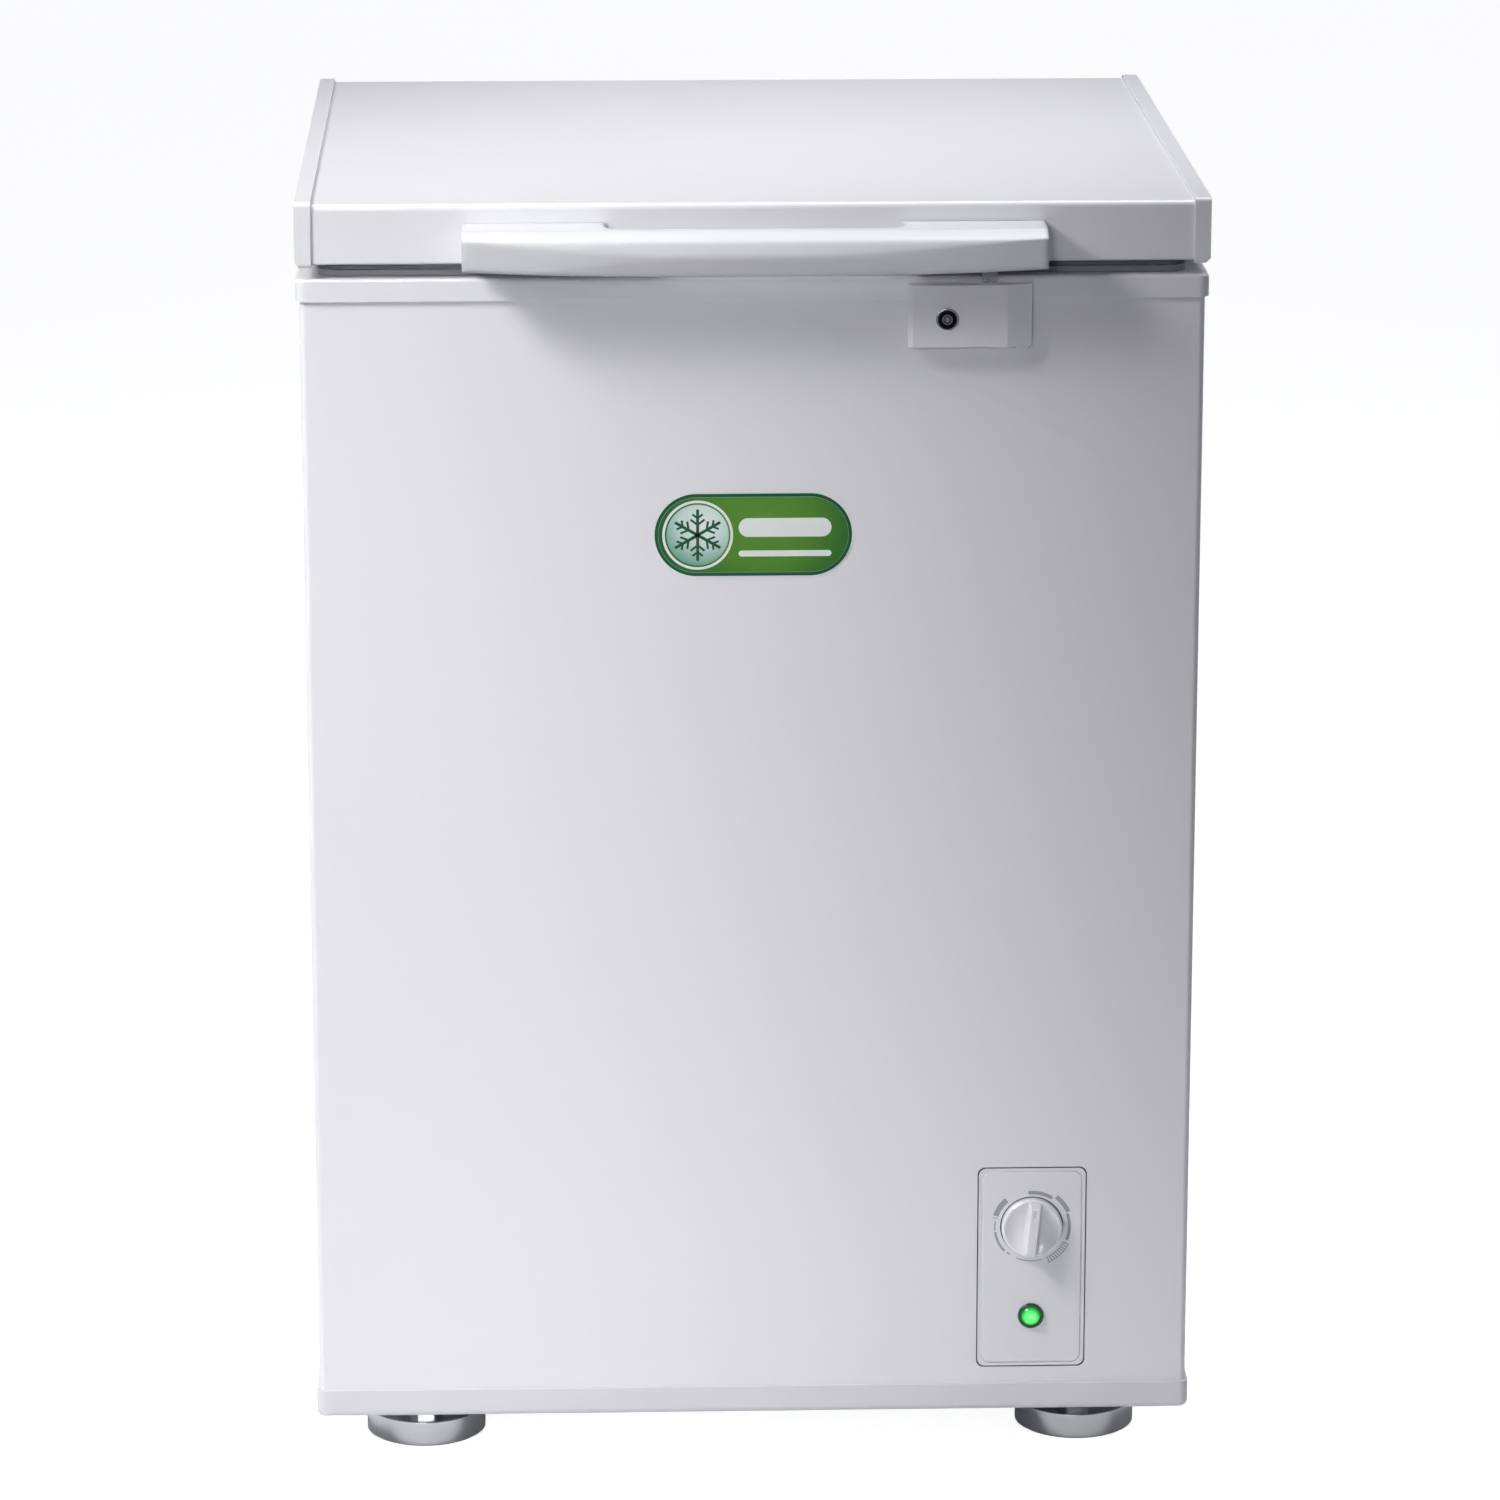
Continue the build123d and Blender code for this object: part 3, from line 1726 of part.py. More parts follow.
with BuildPart() as side_vent:
    block(
        cabinet_half,
        cabinet_half + vent_plate,
        vent_centre_y - vent_length / 2,
        vent_centre_y + vent_length / 2,
        vent_centre_z - vent_height / 2,
        vent_centre_z + vent_height / 2,
    )
    fillet(side_vent.edges().filter_by(Axis.X), 5.0)
    fillet(side_vent.faces().sort_by(Axis.X)[-1].edges(), 1.2)
    with BuildSketch(Plane.YZ.offset(cabinet_half)) as slots:
        with Locations((vent_centre_y, vent_centre_z)):
            with GridLocations(0, 11.0, 1, 9):
                SlotOverall(vent_length - 34.0, 5.0)
    extrude(slots.sketch, amount=vent_plate, mode=Mode.SUBTRACT)
    for y, z in vent_screw_places:
        rod_x(
            y,
            z,
            small_screw_radius + screw_clearance,
            cabinet_half,
            cabinet_half + vent_plate,
            mode=Mode.SUBTRACT,
        )
        rod_x(
            y,
            z,
            small_screw_head + screw_clearance,
            cabinet_half + vent_plate - small_screw_thick,
            cabinet_half + vent_plate,
            mode=Mode.SUBTRACT,
        )
save(side_vent, "side_vent")

with BuildPart() as bay_panel:
    block(
        foam_half - bay_panel_sheet,
        foam_half,
        bay_front,
        back_inside,
        base_plate_top,
        bay_top,
    )
    block(
        foam_half - bay_panel_sheet,
        foam_half,
        vent_centre_y - vent_length / 2 + vent_border,
        vent_centre_y + vent_length / 2 - vent_border,
        vent_centre_z - vent_height / 2 + vent_border,
        vent_centre_z + vent_height / 2 - vent_border,
        mode=Mode.SUBTRACT,
    )
    for y, z in vent_screw_places:
        rod_x(
            y,
            z,
            small_screw_radius,
            foam_half - bay_panel_sheet,
            foam_half,
            mode=Mode.SUBTRACT,
        )
save(bay_panel, "bay_panel")

with BuildPart() as rear_cover:
    block(cover_left, cover_right, back, back + sheet, cover_bottom, cover_top)
    with BuildSketch(Plane.XZ.offset(-back)) as slots:
        with Locations(
            ((cover_left + cover_right) / 2, (cover_bottom + cover_top) / 2 + 12.0)
        ):
            with GridLocations(50.0, 13.0, 3, 9):
                SlotOverall(40.0, 5.0)
    extrude(slots.sketch, amount=-sheet, mode=Mode.SUBTRACT)
    for x, z in cover_screw_places:
        rod_y(
            x,
            z,
            small_screw_radius + screw_clearance,
            back,
            back + sheet,
            mode=Mode.SUBTRACT,
        )
    rod_y(cord_inlet_x, cord_inlet_z, cord_inlet_hole, back, back + sheet, mode=Mode.SUBTRACT)
save(rear_cover, "rear_cover")

with BuildPart() as cord_inlet:
    rod_y(cord_inlet_x, cord_inlet_z, cord_inlet_hole, back, back + sheet)
    rod_y(cord_inlet_x, cord_inlet_z, cord_inlet_hole + 2.5, back + sheet, back + sheet + 2.0)
    rod_y(cord_inlet_x, cord_inlet_z, cord_inlet_hole + 2.0, back_inside - 1.2, back)
    rod_y(
        cord_inlet_x,
        cord_inlet_z,
        cord_inlet_bore,
        back_inside - 1.2,
        back + sheet + 2.0,
        mode=Mode.SUBTRACT,
    )
save(cord_inlet, "cord_inlet")

with BuildPart() as cover_screws:
    for x, z in cover_screw_places:
        rod_y(x, z, small_screw_radius, back_inside - 7.0, back + sheet)
        rod_y(
            x,
            z,
            small_screw_head,
            back + sheet,
            back + sheet + small_screw_thick,
        )
    for y, z in vent_screw_places:
        seat = cabinet_half + vent_plate - small_screw_thick
        rod_x(y, z, small_screw_radius, foam_half - 7.0, seat)
        rod_x(y, z, small_screw_head, seat, seat + small_screw_thick - 0.2)
save(cover_screws, "cover_screws")

# ---------------------------------------------------------------- drain

with BuildPart() as drain_pipe:
    tube(drain_route, drain_bend, drain_radius)
    rod_z(drain_x, drain_y, drain_radius + 5.0, tub_floor, tub_floor + 1.5)
    tube(drain_route, drain_bend, drain_bore, mode=Mode.SUBTRACT)
    rod_z(drain_x, drain_y, drain_bore, tub_floor, tub_floor + 1.5, mode=Mode.SUBTRACT)
save(drain_pipe, "drain_pipe")

with BuildPart() as drain_stopper:
    plug_radius = drain_bore - drain_plug_gap
    rod_z(drain_x, drain_y, plug_radius, tub_floor - 10.0, tub_floor + 1.8)
    rod_z(drain_x, drain_y, drain_radius + 3.0, tub_floor + 1.8, tub_floor + 4.3)
    fillet(drain_stopper.faces().sort_by(Axis.Z)[-1].edges(), 0.8)
    block(
        drain_x - 6.0,
        drain_x + 6.0,
        drain_y - 1.5,
        drain_y + 1.5,
        tub_floor + 4.3,
        tub_floor + 12.3,
    )
save(drain_stopper, "drain_stopper")

with BuildPart() as drain_cap:
    rod_x(drain_y, drain_z, plug_radius, -cabinet_half - 0.3, -cabinet_half + 10.0)
    rod_x(
        drain_y,
        drain_z,
        drain_radius + 4.0,
        -cabinet_half - 2.3,
        -cabinet_half - 0.3,
    )
    fillet(drain_cap.faces().sort_by(Axis.X)[0].edges(), 0.8)
save(drain_cap, "drain_cap")
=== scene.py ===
"""Small chest freezer: finishes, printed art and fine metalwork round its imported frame."""

import json
import math

import bmesh
import bpy
from bmesh.types import BMEdge, BMFace, BMVert
from bpy.props import FloatProperty, FloatVectorProperty, IntProperty, PointerProperty
from mathutils import Matrix, Vector


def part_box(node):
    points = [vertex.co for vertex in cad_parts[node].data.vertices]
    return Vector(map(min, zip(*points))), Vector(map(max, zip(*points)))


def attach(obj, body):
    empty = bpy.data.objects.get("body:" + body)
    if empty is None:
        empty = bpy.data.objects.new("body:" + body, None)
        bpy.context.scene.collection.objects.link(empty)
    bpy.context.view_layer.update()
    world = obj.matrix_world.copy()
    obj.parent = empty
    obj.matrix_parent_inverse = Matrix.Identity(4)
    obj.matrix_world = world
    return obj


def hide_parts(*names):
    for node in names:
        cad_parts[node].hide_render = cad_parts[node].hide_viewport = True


bl_info = {
    "name": "Chest Freezer",
    "version": (1, 0, 0),
    "blender": (4, 5, 0),
    "location": "View3D > Sidebar > Freezer",
    "description": "Finishes and details a small top-opening chest freezer",
    "category": "Object",
}

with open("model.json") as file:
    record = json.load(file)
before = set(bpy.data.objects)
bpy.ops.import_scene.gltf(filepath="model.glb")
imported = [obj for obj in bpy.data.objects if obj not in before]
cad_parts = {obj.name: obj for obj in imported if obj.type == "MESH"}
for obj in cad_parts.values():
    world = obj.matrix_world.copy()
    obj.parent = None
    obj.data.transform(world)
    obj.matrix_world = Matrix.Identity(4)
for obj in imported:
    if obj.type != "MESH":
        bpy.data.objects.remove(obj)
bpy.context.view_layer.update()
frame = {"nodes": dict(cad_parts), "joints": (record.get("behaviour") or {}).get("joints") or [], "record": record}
JOINTS = {joint["name"]: joint for joint in frame["joints"]}
SUBPARTS = frame["record"]["subparts"]

FRONT_PLANE = Matrix.Rotation(math.radians(90), 4, "X")  # local X, Y, Z to X, Z, -Y
BACK_PLANE = Matrix.Rotation(math.radians(180), 4, "Z") @ FRONT_PLANE
RIGHT_PLANE = Matrix.Rotation(math.radians(90), 4, "Z") @ FRONT_PLANE


# ---- measures from the frame


def middle(node):
    """Centre of a CAD node's box."""
    low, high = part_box(node)
    return (low + high) / 2


DIAL_AXIS = Vector(JOINTS["thermostat_turn"]["pos_m"])
LOCK_AXIS = Vector(JOINTS["lock_turn"]["pos_m"])
LAMP_AXIS = middle("pilot_lamp_lens")
PANEL_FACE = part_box("control_panel")[0].y
LABEL_LOW, LABEL_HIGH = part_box("front_label")
LABEL_HEIGHT = LABEL_HIGH.z - LABEL_LOW.z
VENT_LOW, VENT_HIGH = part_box("side_vent")


def length_property(label, what, default):
    """A length setting."""
    return FloatProperty(name=label, description=what, default=default, unit="LENGTH")


class FreezerSizes(bpy.types.PropertyGroup):
    """Sizes of the details that are modelled here."""

    print_film: length_property(
        "Print film", "Thickness of the printed art on the label and round the dial", 0.00006
    )
    label_border: length_property("Label border", "Width of the label's dark border", 0.0028)
    scale_radius: length_property(
        "Dial scale radius", "Inner radius of the printed scale round the dial", 0.0226
    )
    well_depth: length_property(
        "Well depth", "Depth of the round well that the dial sits in", 0.0012
    )
    screw_recess: FloatProperty(
        name="Screw recess",
        description="Depth of the cross recess as a share of the head's height",
        default=0.6,
    )
    louvre_tilt: FloatProperty(
        name="Louvre tilt",
        description="Downward slope of the vent's blades",
        default=math.radians(38),
        subtype="ANGLE",
    )
    louvre_depth: length_property(
        "Louvre depth", "Width of each blade behind the vent's slots", 0.009
    )
    louvres: IntProperty(
        name="Louvres",
        description="Number of blades behind the side vent",
        default=9,
        min=1,
    )


def colour_property(label, what, default):
    """A colour setting."""
    return FloatVectorProperty(
        name=label, description=what, default=default, subtype="COLOR", size=3, min=0, max=1
    )


class FreezerColours(bpy.types.PropertyGroup):
    """Colours of the finishes."""

    paint: colour_property("Paint", "Sprayed cabinet and lid", (0.805, 0.80, 0.835))
    moulding: colour_property("Moulding", "Glossy white mouldings", (0.79, 0.787, 0.82))
    # greyer than the other mouldings: painted shade of the handle's front
    handle: colour_property("Handle", "Moulded handle of the lid", (0.65, 0.65, 0.69))
    trim: colour_property("Base trim", "Moulding round the base", (0.70, 0.697, 0.73))
    border: colour_property("Label border", "Dark rim of the label", (0.008, 0.085, 0.036))
    field: colour_property("Label field", "Green of the label", (0.085, 0.25, 0.025))
    print: colour_property("Label print", "Pale art on the label", (0.80, 0.84, 0.80))
    scale: colour_property("Dial scale", "Grey print round the dial", (0.36, 0.37, 0.41))
    lamp: colour_property("Lamp", "Lit centre of the pilot lamp", (0.20, 1.0, 0.28))


# ---- node helpers


def add_node(tree, kind, values=None, **settings):
    """Adds a shader node, sets its attributes and then its input values."""
    made = tree.nodes.new("ShaderNode" + kind)
    for key, value in settings.items():
        setattr(made, key, value)
    for key, value in (values or {}).items():
        made.inputs[key].default_value = value
    return made


def wire(tree, *pairs):
    """Links pairs of output and input sockets."""
    for source, target in pairs:
        tree.links.new(source, target)


def calc(tree, operation, first, second=None, clamp=False):
    """Math node on sockets or numbers; returns its output."""
    made = add_node(tree, "Math", operation=operation, use_clamp=clamp)
    for index, value in enumerate((first, second)):
        if isinstance(value, bpy.types.NodeSocket):
            tree.links.new(value, made.inputs[index])
        elif value is not None:
            made.inputs[index].default_value = value
    return made.outputs[0]


def mix_colour(tree, factor, first, second, blend="MIX"):
    """Colour mix of sockets or colours; returns its output."""
    made = add_node(tree, "Mix", data_type="RGBA", blend_type=blend)
    for index, value in ((0, factor), (6, first), (7, second)):
        if isinstance(value, bpy.types.NodeSocket):
            tree.links.new(value, made.inputs[index])
        else:
            made.inputs[index].default_value = value
    return made.outputs[2]


def swing_round(tree, value, amount):
    """A noise value's swing to either side of its middle, times an amount."""
    return calc(tree, "MULTIPLY", calc(tree, "SUBTRACT", value, 0.5), amount)


def shaded(tree, colour, swing):
    """A colour made lighter or darker by a swing; returns its output."""
    shade = add_node(tree, "CombineColor")
    value = calc(tree, "ADD", swing, 1.0)
    wire(tree, *((value, channel) for channel in shade.inputs))
    return mix_colour(tree, 1.0, colour, shade.outputs[0], "MULTIPLY")


def new_group(name, inputs, outputs):
    """Starts a node group; returns its tree, what it is given and what it puts out."""
    tree = bpy.data.node_groups.new(name, "ShaderNodeTree")
    for label, default in inputs.items():
        length = len(default) if isinstance(default, tuple) else 1
        kind = {1: "Float", 3: "Vector", 4: "Color"}[length]
        socket = tree.interface.new_socket(
            label, in_out="INPUT", socket_type="NodeSocket" + kind
        )
        socket.default_value = default
    for label in outputs:
        kind = {"Roughness": "Float", "Normal": "Vector", "Color": "Color"}[label]
        tree.interface.new_socket(label, in_out="OUTPUT", socket_type="NodeSocket" + kind)
    given = tree.nodes.new("NodeGroupInput").outputs
    return tree, given, tree.nodes.new("NodeGroupOutput").inputs


def place(tree):
    """Object coordinates."""
    return add_node(tree, "TexCoord").outputs["Object"]


# ---- shared effects

EDGE_SHARPNESS = 8.0  # how quickly a bend in the surface counts as an edge for the paler edge tone (painted highlight, and scuffing on the zinc cover)
DUST_FROM, DUST_RISE = 0.4, 1.6  # upward slope that dust starts at, and how fast it thickens
STUCCO_WARP = 0.006  # how far the emboss strays from an even grid
PALE = (0.8, 0.8, 0.8, 1)


def build_drift():
    """Slow unevenness of tone and gloss over a surface."""
    tree, given, out = new_group(
        "tone_drift",
        {"Color": PALE, "Roughness": 0.4, "Scale": 4.0, "Tone": 0.05, "Gloss": 0.05},
        ("Color", "Roughness"),
    )
    spot = place(tree)
    broad = add_node(tree, "TexNoise", {"Detail": 3.0, "Roughness": 0.55})
    wire(tree, (spot, broad.inputs["Vector"]), (given["Scale"], broad.inputs["Scale"]))
    tone = shaded(tree, given["Color"], swing_round(tree, broad.outputs[0], given["Tone"]))
    dulling = swing_round(tree, broad.outputs[0], given["Gloss"])
    gloss = calc(tree, "ADD", given["Roughness"], dulling, True)
    wire(tree, (tone, out["Color"]), (gloss, out["Roughness"]))
    return tree


def build_grain():
    """Fine relief: orange peel on paint, moulding texture on plastic, cells in foam."""
    tree, given, out = new_group(
        "surface_grain",
        {"Scale": 400.0, "Detail": 2.0, "Height": 0.00002, "Strength": 0.5, "Soften": 0.0},
        ("Normal",),
    )
    spot = place(tree)
    noise = add_node(tree, "TexNoise", {"Roughness": 0.5})
    rounded = add_node(tree, "Bevel", samples=6)
    bump = add_node(tree, "Bump")
    wire(
        tree,
        (given["Soften"], rounded.inputs["Radius"]),
        (rounded.outputs[0], bump.inputs["Normal"]),
        (spot, noise.inputs["Vector"]),
        (given["Scale"], noise.inputs["Scale"]),
        (given["Detail"], noise.inputs["Detail"]),
        (noise.outputs[0], bump.inputs["Height"]),
        (given["Height"], bump.inputs["Distance"]),
        (given["Strength"], bump.inputs["Strength"]),
        (bump.outputs[0], out["Normal"]),
    )
    return tree


def build_brushing():
    """Fine streaks along one direction, for metal that was drawn or turned."""
    tree, given, out = new_group(
        "brushing",
        {
            "Stretch": (1.0, 1.0, 60.0),
            "Scale": 30.0,
            "Height": 0.00001,
            "Roughness": 0.25,
            "Spread": 0.2,
        },
        ("Roughness", "Normal"),
    )
    spot = place(tree)
    stretched = add_node(tree, "VectorMath", operation="MULTIPLY")
    noise = add_node(tree, "TexNoise", {"Detail": 5.0, "Roughness": 0.65})
    bump = add_node(tree, "Bump", {"Strength": 0.6})
    wire(
        tree,
        (spot, stretched.inputs[0]),
        (given["Stretch"], stretched.inputs[1]),
        (stretched.outputs[0], noise.inputs["Vector"]),
        (given["Scale"], noise.inputs["Scale"]),
        (noise.outputs[0], bump.inputs["Height"]),
        (given["Height"], bump.inputs["Distance"]),
        (bump.outputs[0], out["Normal"]),
    )
    swing = swing_round(tree, noise.outputs[0], given["Spread"])
    wire(tree, (calc(tree, "ADD", given["Roughness"], swing, True), out["Roughness"]))
    return tree


def build_wear_and_highlight():
    """Edges turned to another tone: painted highlight on the mouldings' edges, scuffing together with painted
    highlight on the zinc cover.
    """
    tree, given, out = new_group(
        "edge_wear_and_highlight",
        {"Color": PALE, "Worn and lit": (0.9, 0.9, 0.9, 1), "Width": 0.0015, "Amount": 0.3},
        ("Color",),
    )
    rounded = add_node(tree, "Bevel", samples=3)
    facing = add_node(tree, "NewGeometry")
    turn = add_node(tree, "VectorMath", operation="DOT_PRODUCT")
    noise = add_node(tree, "TexNoise", {"Scale": 90.0, "Detail": 3.0})
    wire(
        tree,
        (given["Width"], rounded.inputs["Radius"]),
        (rounded.outputs[0], turn.inputs[0]),
        (facing.outputs["Normal"], turn.inputs[1]),
        (place(tree), noise.inputs["Vector"]),
    )
    bend = calc(tree, "SUBTRACT", 1.0, turn.outputs["Value"])
    edge = calc(tree, "MULTIPLY", bend, EDGE_SHARPNESS, True)
    broken = calc(tree, "MULTIPLY", edge, calc(tree, "ADD", noise.outputs[0], 0.35), True)
    mask = calc(tree, "MULTIPLY", broken, given["Amount"], True)
    wire(tree, (mix_colour(tree, mask, given["Color"], given["Worn and lit"]), out["Color"]))
    return tree


def build_dust():
    """Thin dust that settles on faces that look up."""
    tree, given, out = new_group(
        "settled_dust",
        {"Color": PALE, "Dust": (0.55, 0.54, 0.52, 1), "Amount": 0.1},
        ("Color",),
    )
    facing = add_node(tree, "NewGeometry")
    split = add_node(tree, "SeparateXYZ")
    noise = add_node(tree, "TexNoise", {"Scale": 14.0, "Detail": 6.0, "Roughness": 0.6})
    wire(
        tree,
        (facing.outputs["Normal"], split.inputs[0]),
        (place(tree), noise.inputs["Vector"]),
    )
    rise = calc(tree, "SUBTRACT", split.outputs["Z"], DUST_FROM)
    upward = calc(tree, "MULTIPLY", rise, DUST_RISE, True)
    patchy = calc(tree, "MULTIPLY", upward, noise.outputs[0])
    mask = calc(tree, "MULTIPLY", patchy, given["Amount"], True)
    wire(tree, (mix_colour(tree, mask, given["Color"], given["Dust"]), out["Color"]))
    return tree


def build_stucco():
    """Rolled stucco emboss of aluminium sheet."""
    tree, given, out = new_group(
        "stucco_emboss",
        {"Scale": 220.0, "Height": 0.0002},
        ("Normal",),
    )
    warp = add_node(tree, "TexNoise", {"Scale": 60.0, "Detail": 2.0})
    cells = add_node(tree, "TexVoronoi", feature="SMOOTH_F1")
    shift = add_node(tree, "VectorMath", operation="MULTIPLY_ADD")
    shift.inputs[1].default_value = (STUCCO_WARP,) * 3
    bump = add_node(tree, "Bump", {"Strength": 0.7})
    spot = place(tree)
    wire(
        tree,
        (spot, warp.inputs["Vector"]),
        (warp.outputs["Color"], shift.inputs[0]),
        (spot, shift.inputs[2]),
        (shift.outputs[0], cells.inputs["Vector"]),
        (given["Scale"], cells.inputs["Scale"]),
        (cells.outputs["Distance"], bump.inputs["Height"]),
        (given["Height"], bump.inputs["Distance"]),
        (bump.outputs[0], out["Normal"]),
    )
    return tree


def build_spangle():
    """Crystal spangle of galvanised sheet."""
    tree, given, out = new_group(
        "zinc_spangle",
        {"Color": (0.6, 0.62, 0.64, 1), "Scale": 70.0, "Contrast": 0.25},
        ("Color", "Roughness"),
    )
    crystals = add_node(tree, "TexVoronoi", feature="F1")
    split = add_node(tree, "SeparateColor")
    wire(
        tree,
        (place(tree), crystals.inputs["Vector"]),
        (given["Scale"], crystals.inputs["Scale"]),
        (crystals.outputs["Color"], split.inputs[0]),
    )
    tone = shaded(tree, given["Color"], swing_round(tree, split.outputs[0], given["Contrast"]))
    gloss = calc(tree, "ADD", calc(tree, "MULTIPLY", split.outputs[1], 0.2), 0.32)
    wire(tree, (tone, out["Color"]), (gloss, out["Roughness"]))
    return tree


def build_height_shade():
    """Painted shade: a darker tone above a height, for the shaded hub inside a cup."""
    tree, given, out = new_group(
        "height_shade",
        {"Color": (0.7, 0.7, 0.7, 1), "Upper": (0.05, 0.05, 0.05, 1), "Height": 0.0178},
        ("Color",),
    )
    split = add_node(tree, "SeparateXYZ")
    wire(tree, (place(tree), split.inputs[0]))
    above = calc(tree, "GREATER_THAN", split.outputs["Z"], given["Height"])
    wire(tree, (mix_colour(tree, above, given["Color"], given["Upper"]), out["Color"]))
    return tree


GROUP_BUILDERS = {
    "height": build_height_shade,
    "drift": build_drift,
    "grain": build_grain,
    "brush": build_brushing,
    "wear_and_highlight": build_wear_and_highlight,
    "dust": build_dust,
    "stucco": build_stucco,
    "spangle": build_spangle,
}
GROUPS = {}


def use_group(tree, kind, values):
    """Places a shared effect in a material."""
    made = add_node(tree, "Group", node_tree=GROUPS[kind])
    for key, value in values.items():
        made.inputs[key].default_value = value
    return made


def drift_of(scale, tone, gloss):
    """Values of the tone drift."""
    return {"Scale": scale, "Tone": tone, "Gloss": gloss}


def grain_of(scale, detail, height, strength):
    """Values of the surface grain."""
    return {"Scale": scale, "Detail": detail, "Height": height, "Strength": strength}


def brush_of(stretch, scale, height, spread):
    """Values of the brushing, with streaks that run level round the vertical."""
    return {"Stretch": (1.0, 1.0, stretch), "Scale": scale, "Height": height, "Spread": spread}


def start_material(name, shader):
    """New material with a Principled shader whose plain sockets are set."""
    material = bpy.data.materials.new(name)
    material.use_nodes = True
    tree = material.node_tree
    principled = tree.nodes["Principled BSDF"]
    for key, value in shader.items():
        principled.inputs[key].default_value = value
    return material, tree, principled


def finish_material(name, colour, roughness, shader=None, **effects):
    """Material of a base colour and roughness, run through the shared effects it names."""
    material, tree, principled = start_material(name, shader or {})
    colour = (*colour, 1.0)
    drift = use_group(
        tree, "drift", {"Color": colour, "Roughness": roughness, **effects.get("drift", {})}
    )
    tone, gloss, normal = drift.outputs["Color"], drift.outputs["Roughness"], None
    if "spangle" in effects:
        made = use_group(tree, "spangle", effects["spangle"])
        wire(tree, (tone, made.inputs["Color"]))
        tone, gloss = made.outputs["Color"], made.outputs["Roughness"]
    if "brush" in effects:
        made = use_group(tree, "brush", effects["brush"])
        wire(tree, (gloss, made.inputs["Roughness"]))
        gloss, normal = made.outputs["Roughness"], made.outputs["Normal"]
    for kind in ("grain", "stucco"):
        if kind in effects:
            normal = use_group(tree, kind, effects[kind]).outputs["Normal"]
    for kind in ("wear_and_highlight", "dust", "height"):
        if kind in effects:
            made = use_group(tree, kind, effects[kind])
            wire(tree, (tone, made.inputs["Color"]))
            tone = made.outputs["Color"]
    wire(tree, (tone, principled.inputs["Base Color"]), (gloss, principled.inputs["Roughness"]))
    if normal:
        wire(tree, (normal, principled.inputs["Normal"]))
    return material


def radial_material(name, axis, radius, stops, shader, roughness, emission=False):
    """Material whose colour changes with the distance from an axis that runs front to back."""
    material, tree, principled = start_material(name, shader)
    offset = add_node(tree, "VectorMath", operation="SUBTRACT")
    offset.inputs[1].default_value = axis
    flat = add_node(tree, "VectorMath", operation="MULTIPLY")
    flat.inputs[1].default_value = (1 / radius, 0.0, 1 / radius)
    reach = add_node(tree, "VectorMath", operation="LENGTH")
    ramp = add_node(tree, "ValToRGB")
    while len(ramp.color_ramp.elements) < len(stops):
        ramp.color_ramp.elements.new(0.5)
    for element, (position, colour) in zip(ramp.color_ramp.elements, stops):
        element.position = position
        element.color = (*colour, 1.0)
    drift = use_group(tree, "drift", {"Roughness": roughness, **drift_of(400.0, 0.08, 0.1)})
    wire(
        tree,
        (place(tree), offset.inputs[0]),
        (offset.outputs[0], flat.inputs[0]),
        (flat.outputs[0], reach.inputs[0]),
        (reach.outputs["Value"], ramp.inputs[0]),
        (ramp.outputs[0], drift.inputs["Color"]),
        (drift.outputs["Color"], principled.inputs["Base Color"]),
        (drift.outputs["Roughness"], principled.inputs["Roughness"]),
    )
    if emission:
        wire(tree, (drift.outputs["Color"], principled.inputs["Emission Color"]))
    return material


MATERIALS = {}


